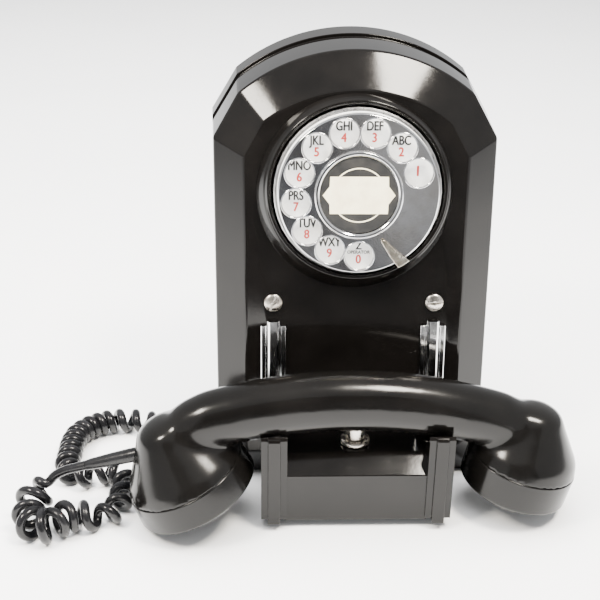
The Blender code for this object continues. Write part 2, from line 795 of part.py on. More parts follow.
def make_circuit_parts():
    """The condenser, the induction coil and the terminal block on the back plate."""
    wall = BACK - BASE_WALL - GAP
    can = [
        (-0.0520, 0.0455),
        (-0.0100, 0.0455),
        (-0.0080, 0.0475),
        (-0.0080, wall),
        (-0.0540, wall),
        (-0.0540, 0.0475),
    ]
    piece("condenser", prism(can, 0.1230, 0.1470, "Z"), "nickel")
    core = piece("induction_coil", box((0.0100, 0.0500, 0.1250), (0.0560, wall, 0.1290)), "winding")
    boolean(core, "UNION", box((0.0100, 0.0500, 0.1430), (0.0560, wall, 0.1470)))
    boolean(core, "UNION", rod((0.0330, 0.0563, 0.1280), (0.0330, 0.0563, 0.1440), 0.0085, 24))
    block = piece("terminal_block", box((-0.0320, 0.0560, 0.1060), (0.0320, wall, 0.1180)), "insulation")
    for i in range(6):
        x = -0.0275 + 0.0110 * i
        boolean(block, "UNION", rod((x, 0.0535, 0.1120), (x, 0.0570, 0.1120), 0.0026, 10))


# --- Handset -----------------------------------------------------------------------------------


def grip_centre(x):
    """The middle of the grip at X = x, on a shallow bow."""
    return Vector((x, GRIP_Y + GRIP_ASKEW * x, GRIP_Z - GRIP_FALL * x - GRIP_BOW * x**2))


def grip_ring(x, swell=1.0, steps=20):
    """An oval section of the grip, square to X."""
    centre = grip_centre(x)
    points = []
    for i in range(steps):
        angle = 2 * math.pi * i / steps
        across = swell * GRIP_HALF_DEEP * math.cos(angle)
        up = swell * GRIP_HALF_HIGH * math.sin(angle)
        points.append(centre + Vector((0, across, up)))
    return points


def make_grip():
    """The bowed bar from one bell to the other, its ends rounded off inside the bells."""
    stations = [(-0.092, 0.35), (-0.089, 0.70), (-0.083, 0.88)]
    stations += [(-0.074 + 0.0148 * i, 1.0) for i in range(11)]
    stations += [(0.083, 0.88), (0.089, 0.70), (0.092, 0.35)]
    return loft([grip_ring(x, swell) for x, swell in stations])


def bell(radius, edge, edge_radius, shoulder, shoulder_radius, steps=32):
    """A trumpet-shaped end from its seam, at Z = 0: a band, a cone and a rounded top."""
    crown = 0.006
    profile = [(radius, GAP / 2), (edge_radius, edge), (shoulder_radius, shoulder)]
    for i in (1, 2, 3):
        angle = math.pi / 2 * i / 3.4
        profile.append((shoulder_radius * math.cos(angle), shoulder + crown * math.sin(angle)))
    return turned(profile, steps)


def make_handle(mouth_axis, ear_axis):
    handle = piece("handset_handle", make_grip(), "handset phenolic")
    boolean(handle, "UNION", bell(MOUTH_R, 0.0044, 0.0278, 0.0245, 0.0139), mouth_axis)
    boolean(handle, "UNION", bell(EAR_R, 0.0063, 0.0254, 0.0240, 0.0132), ear_axis)
    for axis, radius in ((mouth_axis, 0.0250), (ear_axis, 0.0224)):
        cavity = turned([(radius, -0.004), (radius, 0.0050), (radius * 0.8, 0.0090)])
        boolean(handle, "DIFFERENCE", cavity, axis)
    socket = rod(LEAD_EXIT - LEAD_WAY * (0.003 + GAP), LEAD_EXIT + LEAD_WAY * 0.008, RELIEF_R + GAP, 14)
    boolean(handle, "DIFFERENCE", socket)


def make_cap(name, axis, radius, lip_radius, length, dome, holes_at):
    """A screwed cap: a wall, a domed front and rings of sound holes."""
    wall = 0.0028
    steps = 32
    outside = [
        (radius - 0.0038, -GAP / 2),
        (radius, -GAP / 2),
        (lip_radius, -length + 0.0010),
        (lip_radius - 0.0010, -length),
        (lip_radius - 0.0052, -length - dome * 0.75),
        (lip_radius - 0.0110, -length - dome),
    ]
    inside = [
        (radius - 0.0038, -length + 0.0015),
        (lip_radius - 0.0062, -length - dome * 0.75 + wall),
        (lip_radius - 0.0110, -length - dome + wall),
    ]
    bm = bmesh.new()
    outer = [[bm.verts.new(point) for point in circle(r, h, steps)] for r, h in outside]
    inner = [[bm.verts.new(point) for point in circle(r, h, steps)] for r, h in inside]
    for group in (outer, [outer[0], *inner]):
        for one, two in zip(group, group[1:]):
            for i in range(steps):
                j = (i + 1) % steps
                bm.faces.new((one[i], one[j], two[j], two[i]))
    bm.faces.new(inner[-1])
    bm.faces.new(outer[-1])
    cap = piece(name, bm, "handset phenolic", axis)
    holes = bmesh.new()
    for count, circle_radius in holes_at:
        for i in range(count):
            angle = 2 * math.pi * i / count
            x = circle_radius * math.cos(angle)
            y = circle_radius * math.sin(angle)
            rod((x, y, -length - 2 * dome), (x, y, -length + 0.0040), 0.0016, 6, holes)
    boolean(cap, "DIFFERENCE", holes, axis)


def make_capsules(mouth_axis, ear_axis):
    for name, axis, radius in (
        ("transmitter_capsule", mouth_axis, 0.0245),
        ("receiver_capsule", ear_axis, 0.0218),
    ):
        profile = [
            (radius * 0.6, 0.0045),
            (radius, 0.0040),
            (radius, -0.0090),
            (radius * 0.8, -0.0115),
        ]
        piece(name, turned(profile, 32), "nickel", axis)


def make_relief():
    """A tapered rubber bush, let into the bell, where the cord leaves the handset."""
    start = LEAD_EXIT
    turn = UP.rotation_difference(LEAD_WAY).to_matrix()
    profile = [(RELIEF_R, -0.003), (RELIEF_R, 0.004), (0.0032, 0.014), (0.0027, RELIEF_LONG)]
    rings = [[start + turn @ Vector(p) for p in circle(r, h, 14)] for r, h in profile]
    return piece("cord_relief", loft(rings), "rubber")


# --- Cord --------------------------------------------------------------------------------------


def make_grommet():
    """The bush in the cover's side that the cord goes into."""
    axis = frame("cord_grommet_axis", ENTRY, (0, -math.pi / 2, 0))
    ring = [
        (0.0026, -0.0050),
        (0.0036, -0.0050),
        (0.0036, 0.0004),
        (0.0052, 0.0004),
        (0.0052, 0.0016),
        (0.0040, 0.0026),
        (0.0026, 0.0026),
    ]
    piece("cord_grommet", washer(ring, 16), "rubber", axis)


def make_cord():
    """A straight lead at the handset, the curly length as one fat tube, and the lead inwards."""
    start = LEAD_EXIT + LEAD_WAY * (RELIEF_LONG + GAP)
    cable("cord_lead_handset", smooth_curve([start, *LEAD_ROUTE], 0.005), LEAD_R)
    cable("cord_coil", smooth_curve(COIL_ROUTE, 0.009), COIL_R)
    cable("cord_lead_housing", smooth_curve(ENTRY_ROUTE, 0.005), WIRE_R)


def main():
    clear_scene()
    dial_axis = frame("dial_axis", DIAL_FOOT, (math.pi / 2 - TILT, 0, 0))
    make_rear_base()
    make_front_cover(dial_axis)
    make_cover_screws(dial_axis)
    make_chrome_strips(dial_axis)
    make_cradle()
    make_plunger()
    make_dial_surround(dial_axis)
    make_finger_wheel(dial_axis)
    make_card(dial_axis)
    make_finger_stop(dial_axis)
    make_dial_works(dial_axis)
    make_governor(dial_axis)
    make_impulse_contacts(dial_axis)
    make_ringer()
    make_hook_switch()
    make_circuit_parts()
    mouth_axis = frame("transmitter_axis", MOUTH_SEAM, (0, MOUTH_TILT, HANDSET_YAW))
    ear_axis = frame("receiver_axis", EAR_SEAM, (0, EAR_TILT, HANDSET_YAW))
    make_handle(mouth_axis, ear_axis)
    make_cap("transmitter_cap", mouth_axis, MOUTH_R, MOUTH_LIP, MOUTH_CAP, 0.0040, ((1, 0), (6, 0.0090)))
    make_cap("receiver_cap", ear_axis, EAR_R, EAR_LIP, EAR_CAP, 0.0040, ((1, 0), (6, 0.0070)))
    make_capsules(mouth_axis, ear_axis)
    make_relief()
    make_grommet()
    make_cord()


main()
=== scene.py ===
"""Looks of a wall telephone with a rotary dial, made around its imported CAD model."""

import json
import math

import bmesh
import bpy
from bpy.props import FloatProperty, FloatVectorProperty, IntProperty, PointerProperty
from mathutils import Matrix, Vector


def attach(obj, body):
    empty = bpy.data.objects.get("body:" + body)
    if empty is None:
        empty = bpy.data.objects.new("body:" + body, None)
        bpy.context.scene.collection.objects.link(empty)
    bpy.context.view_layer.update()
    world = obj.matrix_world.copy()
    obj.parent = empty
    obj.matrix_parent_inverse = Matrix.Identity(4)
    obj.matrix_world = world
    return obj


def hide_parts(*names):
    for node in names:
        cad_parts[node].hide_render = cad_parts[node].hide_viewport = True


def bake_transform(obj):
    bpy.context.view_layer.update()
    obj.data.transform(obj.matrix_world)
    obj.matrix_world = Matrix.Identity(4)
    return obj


bl_info = {
    "name": "Wall telephone",
    "version": (1, 0, 0),
    "blender": (4, 5, 0),
    "location": "View3D > Sidebar > Telephone",
    "description": "Makes the finished pieces of a wall telephone with a rotary dial",
    "category": "Object",
}

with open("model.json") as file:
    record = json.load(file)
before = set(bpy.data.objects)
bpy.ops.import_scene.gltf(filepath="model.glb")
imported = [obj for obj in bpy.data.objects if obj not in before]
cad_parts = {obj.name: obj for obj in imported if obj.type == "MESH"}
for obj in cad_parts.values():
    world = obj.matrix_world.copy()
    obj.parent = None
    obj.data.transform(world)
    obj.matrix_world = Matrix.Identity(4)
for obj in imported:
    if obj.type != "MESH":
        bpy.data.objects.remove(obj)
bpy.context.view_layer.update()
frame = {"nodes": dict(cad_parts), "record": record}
UP = Vector((0, 0, 1))
WARM = (1.0, 0.93, 0.82)
GAP = 0.0003

# The housing's outline, in metres, as the CAD model has it.
WALL_Y = 0.0685
DIAL_Z = 0.155
HALF_WIDTH = 0.071
DRAFT = 0.0431
LEAN = 0.1455
TILT = math.atan(LEAN)
FACE_Y = 0.00606
BEVEL_Y = 0.01667
DIAL_FOOT = Vector((0, 0.00575, 0.15288))
TO_DIAL = Matrix.Translation(DIAL_FOOT) @ Matrix.Rotation(math.pi / 2 - TILT, 4, "X")
RING_SLIP = Vector((-0.0008, -0.0020, 0))
WHEEL_H = 0.0131
WHEEL_TOP = 0.0147
FIRST_HOLE = math.radians(20.4)
HOLE_STEP = math.radians(27.9)
HOLE_RING = 0.0296
PLATE_TOP = 0.0103
SCREW_X = 0.0398
SCREW_DROP = 0.057
COVER_DEPTH = 0.0223
PLUNGER_Y = -0.0365

# The handset's axes: the middle of each seam and how far each end leans.
HANDSET_YAW = math.atan(0.0483)
MOUTH_SEAM = Vector((-0.0827, -0.0455, 0.0280))
MOUTH_TILT = math.radians(-24.8)
EAR_SEAM = Vector((0.0830, -0.0375, 0.0285))
EAR_TILT = math.radians(13.6)
MOUTH_RADIUS = 0.0299
EAR_RADIUS = 0.0270

# The cord's route, the same as the CAD solids have.
LEAD_EXIT = Vector((-0.1072, -0.0455, 0.0362))
LEAD_WAY = Vector((-0.0388, 0.0039, -0.0122)).normalized()
RELIEF_LONG = 0.024
LEAD_ROUTE = (
    (-0.1350, -0.0427, 0.0274),
    (-0.1410, -0.0420, 0.0252),
    (-0.1460, -0.0418, 0.0222),
)
COIL_ROUTE = (
    (-0.1492, -0.0424, 0.0188),
    (-0.1538, -0.0450, 0.0155),
    (-0.1570, -0.0502, 0.0124),
    (-0.1574, -0.0568, 0.0100),
    (-0.1538, -0.0628, 0.0086),
    (-0.1474, -0.0642, 0.0078),
    (-0.1422, -0.0600, 0.0072),
    (-0.1374, -0.0560, 0.0069),
    (-0.1310, -0.0552, 0.0069),
    (-0.1245, -0.0553, 0.0069),
    (-0.1192, -0.0518, 0.0069),
    (-0.1162, -0.0458, 0.0069),
    (-0.1151, -0.0380, 0.0069),
    (-0.1147, -0.0290, 0.0069),
    (-0.1164, -0.0212, 0.0069),
    (-0.1222, -0.0166, 0.0069),
    (-0.1298, -0.0175, 0.0069),
    (-0.1370, -0.0200, 0.0069),
    (-0.1435, -0.0172, 0.0069),
    (-0.1462, -0.0090, 0.0069),
    (-0.1462, 0.0000, 0.0069),
    (-0.1464, 0.0090, 0.0069),
    (-0.1450, 0.0180, 0.0069),
    (-0.1400, 0.0258, 0.0069),
    (-0.1325, 0.0310, 0.0069),
    (-0.1240, 0.0332, 0.0069),
    (-0.1150, 0.0328, 0.0069),
    (-0.1060, 0.0302, 0.0069),
    (-0.0980, 0.0260, 0.0069),
    (-0.0925, 0.0215, 0.0069),
)
ENTRY_ROUTE = (
    (-0.0905, 0.0200, 0.0070),
    (-0.0855, 0.0185, 0.0078),
    (-0.0785, 0.0180, 0.0088),
    (-0.0732, 0.0180, 0.0090),
)
# How far apart the turns lie, and how wide they are beside the coil's own width, by how far
# along the coil they are, in metres.
TURN_SPACING = (
    (0.000, 0.0090),
    (0.012, 0.0078),
    (0.030, 0.0066),
    (0.048, 0.0080),
    (0.060, 0.0102),
    (0.100, 0.0100),
    (0.125, 0.0092),
    (0.140, 0.0060),
    (0.150, 0.0050),
    (0.184, 0.0052),
    (0.196, 0.0088),
    (0.250, 0.0096),
)
TURN_WIDTH = (
    (0.000, 1.20),
    (0.008, 1.60),
    (0.018, 1.25),
    (0.028, 1.60),
    (0.038, 1.40),
    (0.048, 1.45),
    (0.060, 1.00),
    (0.250, 1.00),
)


# --- Finishes ----------------------------------------------------------------------------------


class Finish:
    """A node tree for one finish, whose patterns lie on Object coordinates."""

    def __init__(self, name):
        self.material = bpy.data.materials.new(name)
        self.material.use_nodes = True
        self.tree = self.material.node_tree
        self.tree.nodes.clear()
        self.shader = self.add("ShaderNodeBsdfPrincipled")
        self.output = self.add("ShaderNodeOutputMaterial")
        self.join(self.shader, "BSDF", self.output, "Surface")
        self.place = self.add("ShaderNodeTexCoord")

    def add(self, kind, **settings):
        node = self.tree.nodes.new(kind)
        for key, value in settings.items():
            setattr(node, key, value)
        return node

    def join(self, start, out, end, into):
        self.tree.links.new(start.outputs[out], end.inputs[into])

    def noise(self, scale, detail, stretch=None):
        """A noise of about scale cells for each metre; stretch squeezes it along each axis."""
        node = self.add("ShaderNodeTexNoise")
        node.inputs["Scale"].default_value = scale
        node.inputs["Detail"].default_value = detail
        if stretch is None:
            self.join(self.place, "Object", node, "Vector")
            return node
        mapping = self.add("ShaderNodeMapping")
        mapping.inputs["Scale"].default_value = stretch
        self.join(self.place, "Object", mapping, "Vector")
        self.join(mapping, "Vector", node, "Vector")
        return node

    def colour(self, source, stops, into="Base Color"):
        """Colours the shader by a ramp whose stops are (place, colour)."""
        node = self.add("ShaderNodeValToRGB")
        elements = node.color_ramp.elements
        while len(elements) < len(stops):
            elements.new(0.5)
        for element, (place, colour) in zip(elements, stops):
            element.position = place
            element.color = (*colour, 1)
        self.join(source, "Fac", node, "Fac")
        self.join(node, "Color", self.shader, into)

    def spread(self, source, low, high, start=0.35, end=0.65):
        """The source's values from start to end, spread over low to high."""
        node = self.add("ShaderNodeMapRange")
        for label, value in (("From Min", start), ("From Max", end), ("To Min", low), ("To Max", high)):
            node.inputs[label].default_value = value
        self.join(source, "Fac", node, "Value")
        return node

    def rough(self, first, *others):
        """The shader's roughness: the sum of the given nodes."""
        for other in others:
            total = self.add("ShaderNodeMath")
            for source, socket in zip((first, other), total.inputs):
                self.tree.links.new(source.outputs[0], socket)
            first = total
        self.tree.links.new(first.outputs[0], self.shader.inputs["Roughness"])

    def relief(self, layers):
        """Bumps from (source, strength, distance), one on top of the other."""
        below = None
        for source, strength, distance in layers:
            bump = self.add("ShaderNodeBump")
            bump.inputs["Strength"].default_value = strength
            bump.inputs["Distance"].default_value = distance
            self.join(source, "Fac", bump, "Height")
            if below:
                self.join(below, "Normal", bump, "Normal")
            below = bump
        self.join(below, "Normal", self.shader, "Normal")

    def constant(self, **values):
        for key, value in values.items():
            self.shader.inputs[key.replace("_", " ")].default_value = value


def moulded(name, dark, lift, gloss, dust):
    """Phenolic: glossy, faintly marbled up to lift times the dark, with fine wear and a little dust."""
    finish = Finish(name)
    finish.colour(finish.noise(38, 6), [(0.35, dark), (0.72, tuple(lift * c for c in dark))])
    wear = finish.spread(finish.noise(60, 8), gloss, gloss + 0.05)
    scratches = finish.spread(finish.noise(420, 3, (1, 0.06, 1)), 0, 0.05, 0.62, 0.76)
    finish.rough(wear, scratches, finish.spread(finish.noise(1100, 2), 0, dust, 0.70, 0.78))
    finish.relief([(finish.noise(14, 2), 0.06, 0.002), (finish.noise(700, 3), 0.015, 0.0004)])
    finish.constant(IOR=1.45, Specular_IOR_Level=0.32)
    return finish.material


def mottled(name, cloud, stops, grain, rough, layers, **constants):
    """A surface with clouds of colour, a grain of roughness and layers of (noise, strength, distance)."""
    finish = Finish(name)
    finish.colour(finish.noise(*cloud), stops)
    finish.rough(finish.spread(finish.noise(*grain), *rough))
    finish.relief([(finish.noise(*noise), strength, distance) for noise, strength, distance in layers])
    finish.constant(**constants)
    return finish.material


def plated(name, bright, dull, rough, pits, rust=None):
    """Plated metal: mottled, slightly wavy, pitted, and rusted where rust is a colour."""
    stops = [(0.40, bright), (0.66, dull)] + ([(0.72, rust)] if rust else [])
    layers = [((30, 2), 0.12, 0.001), ((1500, 4), pits, 0.0003)]
    return mottled(name, (85, 7), stops, (240, 6), rough, layers, Metallic=1.0)


def turned_metal(name, bright, dull, rough):
    """Plain worked metal with fine tool marks."""
    marks = (900, 3, (1, 1, 0.05))
    stops = [(0.38, bright), (0.68, dull)]
    return mottled(name, (70, 6), stops, marks, rough, [(marks, 0.12, 0.0003)], Metallic=1.0)


def enamelled(name, colour, stain):
    """Fired enamel: even and glossy, with a few stains and specks."""
    stops = [(0.45, colour), (0.75, stain)]
    gloss = {"Coat_Weight": 0.25, "Coat_Roughness": 0.08}
    return mottled(name, (55, 8), stops, (300, 5), (0.16, 0.34), [((220, 3), 0.05, 0.0005)], **gloss)


def rubbery(name, dark, light, rough):
    """A soft black jacket with a fine skin and dull patches."""
    stops = [(0.36, dark), (0.72, light)]
    gloss = {"IOR": 1.45, "Specular_IOR_Level": 0.35}
    return mottled(name, (120, 6), stops, (180, 6), rough, [((2200, 4), 0.04, 0.0003)], **gloss)


def papery(name, colour, stain, rough):
    """Card or print: matt, with fibres and a little age."""
    stops = [(0.42, colour), (0.78, stain)]
    return mottled(name, (160, 8), stops, (500, 4), (rough, rough + 0.15), [((2600, 5), 0.10, 0.0002)])


def wound(name, colour, dark):
    """Lacquered wire laid in close turns round a spool."""
    finish = Finish(name)
    wave = finish.add("ShaderNodeTexWave", bands_direction="Z")
    wave.inputs["Scale"].default_value = 900
    wave.inputs["Distortion"].default_value = 0.6
    finish.join(finish.place, "Object", wave, "Vector")
    finish.colour(wave, [(0.2, dark), (0.8, colour)])
    finish.rough(finish.spread(finish.noise(300, 4), 0.3, 0.5))
    finish.relief([(wave, 0.4, 0.0003)])
    return finish.material


FINISHES = {}


def make_finishes():
    """Every finish, under the name that the pieces use."""
    parts = bpy.context.scene.telephone_finish
    FINISHES.update(
        housing=moulded("housing_phenolic", tuple(parts.housing_colour), 2.2, parts.housing_gloss, 0.12),
        handset=moulded("handset_phenolic", tuple(parts.handset_colour), 2.0, parts.handset_gloss, 0.08),
        chrome=plated("chrome_plate", (0.74, 0.75, 0.77), (0.62, 0.61, 0.60), (0.03, 0.13), 0.06),
        strip=plated("polished_strip", (0.86, 0.87, 0.88), (0.70, 0.70, 0.70), (0.05, 0.14), 0.05),
        stop=plated("worn_stop", (0.78, 0.74, 0.64), (0.60, 0.53, 0.42), (0.14, 0.30), 0.10),
        nickel=plated(
            "nickel_plate", (0.66, 0.63, 0.58), (0.46, 0.41, 0.35), (0.18, 0.36), 0.20, (0.20, 0.09, 0.04)
        ),
        steel=turned_metal("plain_steel", (0.52, 0.52, 0.52), (0.36, 0.35, 0.34), (0.25, 0.42)),
        brass=turned_metal("machined_brass", (0.78, 0.57, 0.26), (0.56, 0.38, 0.16), (0.18, 0.34)),
        enamel=enamelled("white_enamel", (0.90, 0.90, 0.88), (0.80, 0.78, 0.73)),
        black_print=papery("black_figures", (0.010, 0.010, 0.010), (0.03, 0.03, 0.03), 0.35),
        red_print=papery("red_figures", (0.48, 0.035, 0.025), (0.34, 0.04, 0.03), 0.35),
        card=papery("cream_card", (0.98, 0.90, 0.62), (0.80, 0.70, 0.46), 0.45),
        backing=papery("black_card", (0.012, 0.012, 0.012), (0.03, 0.028, 0.025), 0.40),
        rubber=rubbery("rubber_jacket", (0.0040, 0.0040, 0.0045), (0.010, 0.010, 0.011), (0.16, 0.28)),
        winding=wound("lacquered_winding", (0.42, 0.16, 0.06), (0.12, 0.04, 0.02)),
        insulation=papery("laminated_board", (0.13, 0.075, 0.040), (0.07, 0.04, 0.02), 0.42),
    )


def finish_nodes():
    """Gives each CAD node the finish of its slot in the record; the cord's is the rubber."""
    for entry in frame["record"]["subparts"]:
        slot_name = entry["material_slot"]
        for slot in frame["nodes"][entry["node"]].material_slots:
            slot.material = FINISHES["rubber" if slot_name == "cord" else slot_name]


# --- Mesh work ---------------------------------------------------------------------------------


def as_object(name, bm, finish, matrix=None):
    """An object at the origin from bm, moved by matrix, with one finish."""
    if matrix:
        bmesh.ops.transform(bm, matrix=matrix, verts=bm.verts)
    bmesh.ops.recalc_face_normals(bm, faces=bm.faces)
    mesh = bpy.data.meshes.new(name)
    bm.to_mesh(mesh)
    bm.free()
    mesh.materials.append(FINISHES[finish])
    obj = bpy.data.objects.new(name, mesh)
    bpy.context.scene.collection.objects.link(obj)
    return obj


def settle(obj):
    """Turns the modifiers' result into the object's own plain mesh."""
    graph = bpy.context.evaluated_depsgraph_get()
    made = bpy.data.meshes.new_from_object(obj.evaluated_get(graph), depsgraph=graph)
    made.name = obj.name
    obj.modifiers.clear()
    obj.data = made


def shade(obj, angle=32):
    """Smooth shading, with a sharp edge wherever faces meet at more than angle degrees."""
    for polygon in obj.data.polygons:
        polygon.use_smooth = True
    obj.data.set_sharp_from_angle(angle=math.radians(angle))


def rounded(obj, width, segments=3, angle=30):
    """Rounds the edges and evens the shading of the flat faces beside them."""
    bevel = obj.modifiers.new("rounding", "BEVEL")
    bevel.width = width
    bevel.segments = segments
    bevel.limit_method = "ANGLE"
    bevel.angle_limit = math.radians(angle)
    bevel.use_clamp_overlap = True
    settle(obj)
    even_shading(obj)


def even_shading(obj, angle=40):
    """Lets each flat face decide the shading at its rim, so that it looks flat."""
    shade(obj, angle)
    weighted = obj.modifiers.new("shading", "WEIGHTED_NORMAL")
    weighted.keep_sharp = True
    settle(obj)


def cut(obj, bm, matrix=None, how="DIFFERENCE"):
    """Cuts the solid bm out of the object, or joins it on."""
    tool = as_object("tool", bm, "steel", matrix)
    boolean = obj.modifiers.new("cut", "BOOLEAN")
    boolean.operation = how
    boolean.solver = "EXACT"
    boolean.object = tool
    settle(obj)
    bpy.data.objects.remove(tool)


def skin(bm, rows):
    """Joins each closed row of vertices to the next with a band of faces."""
    for one, two in zip(rows, rows[1:]):
        for i in range(len(one)):
            j = (i + 1) % len(one)
            bm.faces.new((one[i], one[j], two[j], two[i]))


def loft(rings, closed_ends=True, bm=None):
    """A skin over rings of as many points each, from one to the next."""
    bm = bm or bmesh.new()
    rows = [[bm.verts.new(point) for point in ring] for ring in rings]
    skin(bm, rows)
    if closed_ends:
        bm.faces.new(rows[0])
        bm.faces.new(rows[-1])
    return bm


def circle(radius, height, steps):
    return [
        (radius * math.cos(2 * math.pi * i / steps), radius * math.sin(2 * math.pi * i / steps), height)
        for i in range(steps)
    ]


def turned(profile, steps=96):
    """A solid of revolution from (radius, height) pairs, closed by flat ends."""
    return loft([circle(r, h, steps) for r, h in profile])


def washer(profile, steps=96):
    """A ring of revolution from a closed profile of (radius, height) pairs."""
    return loft([circle(r, h, steps) for r, h in [*profile, profile[0]]], False)


def bar(start, end, radius, steps=24, bm=None):
    start, end = Vector(start), Vector(end)
    turn = UP.rotation_difference(end - start).to_matrix()
    rings = [[start + turn @ Vector(p) for p in circle(radius, h, steps)] for h in (0, (end - start).length)]
    return loft(rings, True, bm)


def block(low, high, bm=None):
    (x0, y0, z0), (x1, y1, z1) = low, high
    rings = [[(x0, y0, z), (x1, y0, z), (x1, y1, z), (x0, y1, z)] for z in (z0, z1)]
    return loft(rings, True, bm)


def rounded_profile(points, radius, steps=4):
    """An open profile whose inner corners are rounded to about the radius."""
    points = [Vector(p) for p in points]
    found = [points[0]]
    for before, corner, after in zip(points, points[1:], points[2:]):
        reach = min(radius, 0.45 * (corner - before).length, 0.45 * (after - corner).length)
        start = corner + (before - corner).normalized() * reach
        end = corner + (after - corner).normalized() * reach
        for i in range(steps + 1):
            t = i / steps
            found.append((1 - t) ** 2 * start + 2 * t * (1 - t) * corner + t**2 * end)
    return [tuple(p) for p in [*found, points[-1]]]


def belongs(obj, slot, body, *nodes):
    """Gives the finished piece its body and hides the CAD nodes it stands for; the slot is not used."""
    if nodes:
        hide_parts(*nodes)
    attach(obj, body)


def cad_copy(name, node, finish):
    """A merged copy of a CAD node's mesh, with its flat faces whole again."""
    bm = bmesh.new()
    bm.from_mesh(frame["nodes"][node].data)
    bmesh.ops.remove_doubles(bm, verts=bm.verts, dist=1e-6)
    bmesh.ops.dissolve_limit(bm, angle_limit=math.radians(1), verts=bm.verts, edges=bm.edges)
    return as_object(name, bm, finish)


# --- Node groups -------------------------------------------------------------------------------


class Tree:
    """A geometry node group under construction."""

    def __init__(self, name, sockets):
        self.group = bpy.data.node_groups.new(name, "GeometryNodeTree")
        face = self.group.interface
        face.new_socket("Geometry", in_out="INPUT", socket_type="NodeSocketGeometry")
        for label, kind, default in sockets:
            socket = face.new_socket(label, in_out="INPUT", socket_type=kind)
            if default is not None:
                socket.default_value = default
        face.new_socket("Geometry", in_out="OUTPUT", socket_type="NodeSocketGeometry")
        self.entry = self.group.nodes.new("NodeGroupInput")
        self.exit = self.group.nodes.new("NodeGroupOutput")

    def add(self, kind, inputs=None, **settings):
        """A node; each input is a value, or an output socket to join."""
        node = self.group.nodes.new(kind)
        for key, value in settings.items():
            setattr(node, key, value)
        for key, value in (inputs or {}).items():
            if isinstance(value, bpy.types.NodeSocket):
                self.group.links.new(value, node.inputs[key])
            else:
                node.inputs[key].default_value = value
        return node

    def math(self, how, first, second=None):
        node = self.group.nodes.new("ShaderNodeMath")
        node.operation = how
        for socket, value in zip(node.inputs, (first, second)):
            if isinstance(value, bpy.types.NodeSocket):
                self.group.links.new(value, socket)
            elif value is not None:
                socket.default_value = value
        return node.outputs[0]

    def close(self, geometry):
        """Realizes what is made, gives it the finish and ends the group."""
        real = self.add("GeometryNodeRealizeInstances", {"Geometry": geometry})
        done = self.add(
            "GeometryNodeSetMaterial",
            {"Geometry": real.outputs["Geometry"], "Material": self.entry.outputs["Finish"]},
        )
        self.group.links.new(done.outputs["Geometry"], self.exit.inputs["Geometry"])

    def join_and_close(self, geometry):
        """Adds the geometry to what came in, and ends the group."""
        both = self.add("GeometryNodeJoinGeometry")
        for source in (geometry, self.entry.outputs["Geometry"]):
            self.group.links.new(source, both.inputs["Geometry"])
        self.close(both.outputs["Geometry"])


RING_SOCKETS = (
    ("Holes", "NodeSocketInt", 10),
    ("Ring Radius", "NodeSocketFloat", 0.03),
    ("First Angle", "NodeSocketFloat", 0.0),
    ("Step Angle", "NodeSocketFloat", 0.5),
    ("Height", "NodeSocketFloat", 0.0),
    ("Finish", "NodeSocketMaterial", None),
)


def ring_of_points(tree):
    """Points in a ring, from the group's Holes, Ring Radius, First Angle, Step Angle and Height."""
    given = tree.entry.outputs
    line = tree.add("GeometryNodeMeshLine", {"Count": given["Holes"]})
    index = tree.add("GeometryNodeInputIndex").outputs["Index"]
    angle = tree.math("ADD", given["First Angle"], tree.math("MULTIPLY", index, given["Step Angle"]))
    x = tree.math("MULTIPLY", tree.math("COSINE", angle), given["Ring Radius"])
    y = tree.math("MULTIPLY", tree.math("SINE", angle), given["Ring Radius"])
    spot = tree.add("ShaderNodeCombineXYZ", {"X": x, "Y": y, "Z": given["Height"]})
    points = tree.add(
        "GeometryNodeSetPosition", {"Geometry": line.outputs["Mesh"], "Position": spot.outputs["Vector"]}
    )
    return points.outputs["Geometry"]


def bored_ring_tree():
    """Bores a ring of round holes through the geometry, along Z."""
    drill_sockets = (
        ("Hole Radius", "NodeSocketFloat", 0.006),
        ("Depth", "NodeSocketFloat", 0.01),
        ("Sides", "NodeSocketInt", 48),
    )
    tree = Tree("bored_ring", RING_SOCKETS + drill_sockets)
    given = tree.entry.outputs
    points = ring_of_points(tree)
    drill = tree.add(
        "GeometryNodeMeshCylinder",
        {"Vertices": given["Sides"], "Radius": given["Hole Radius"], "Depth": given["Depth"]},
    )
    drills = tree.add(
        "GeometryNodeInstanceOnPoints",
        {"Points": points, "Instance": drill.outputs["Mesh"]},
    )
    real = tree.add("GeometryNodeRealizeInstances", {"Geometry": drills.outputs["Instances"]})
    bored = tree.add("GeometryNodeMeshBoolean", {"Mesh 2": real.outputs["Geometry"]}, solver="EXACT")
    tree.group.links.new(given["Geometry"], bored.inputs["Mesh 1"])
    tree.close(bored.outputs["Mesh"])
    return tree.group


def rimmed_ring_tree():
    """Adds a rolled rim round each of a ring of holes."""
    rim_sockets = (
        ("Rim Radius", "NodeSocketFloat", 0.007),
        ("Thickness", "NodeSocketFloat", 0.0004),
    )
    tree = Tree("rimmed_ring", RING_SOCKETS + rim_sockets)
    given = tree.entry.outputs
    points = ring_of_points(tree)
    rim = tree.add("GeometryNodeCurvePrimitiveCircle", {"Resolution": 64, "Radius": given["Rim Radius"]})
    section = tree.add("GeometryNodeCurvePrimitiveCircle", {"Resolution": 12, "Radius": given["Thickness"]})
    tube = tree.add(
        "GeometryNodeCurveToMesh",
        {"Curve": rim.outputs["Curve"], "Profile Curve": section.outputs["Curve"]},
    )
    rims = tree.add("GeometryNodeInstanceOnPoints", {"Points": points, "Instance": tube.outputs["Mesh"]})
    tree.join_and_close(rims.outputs["Instances"])
    return tree.group


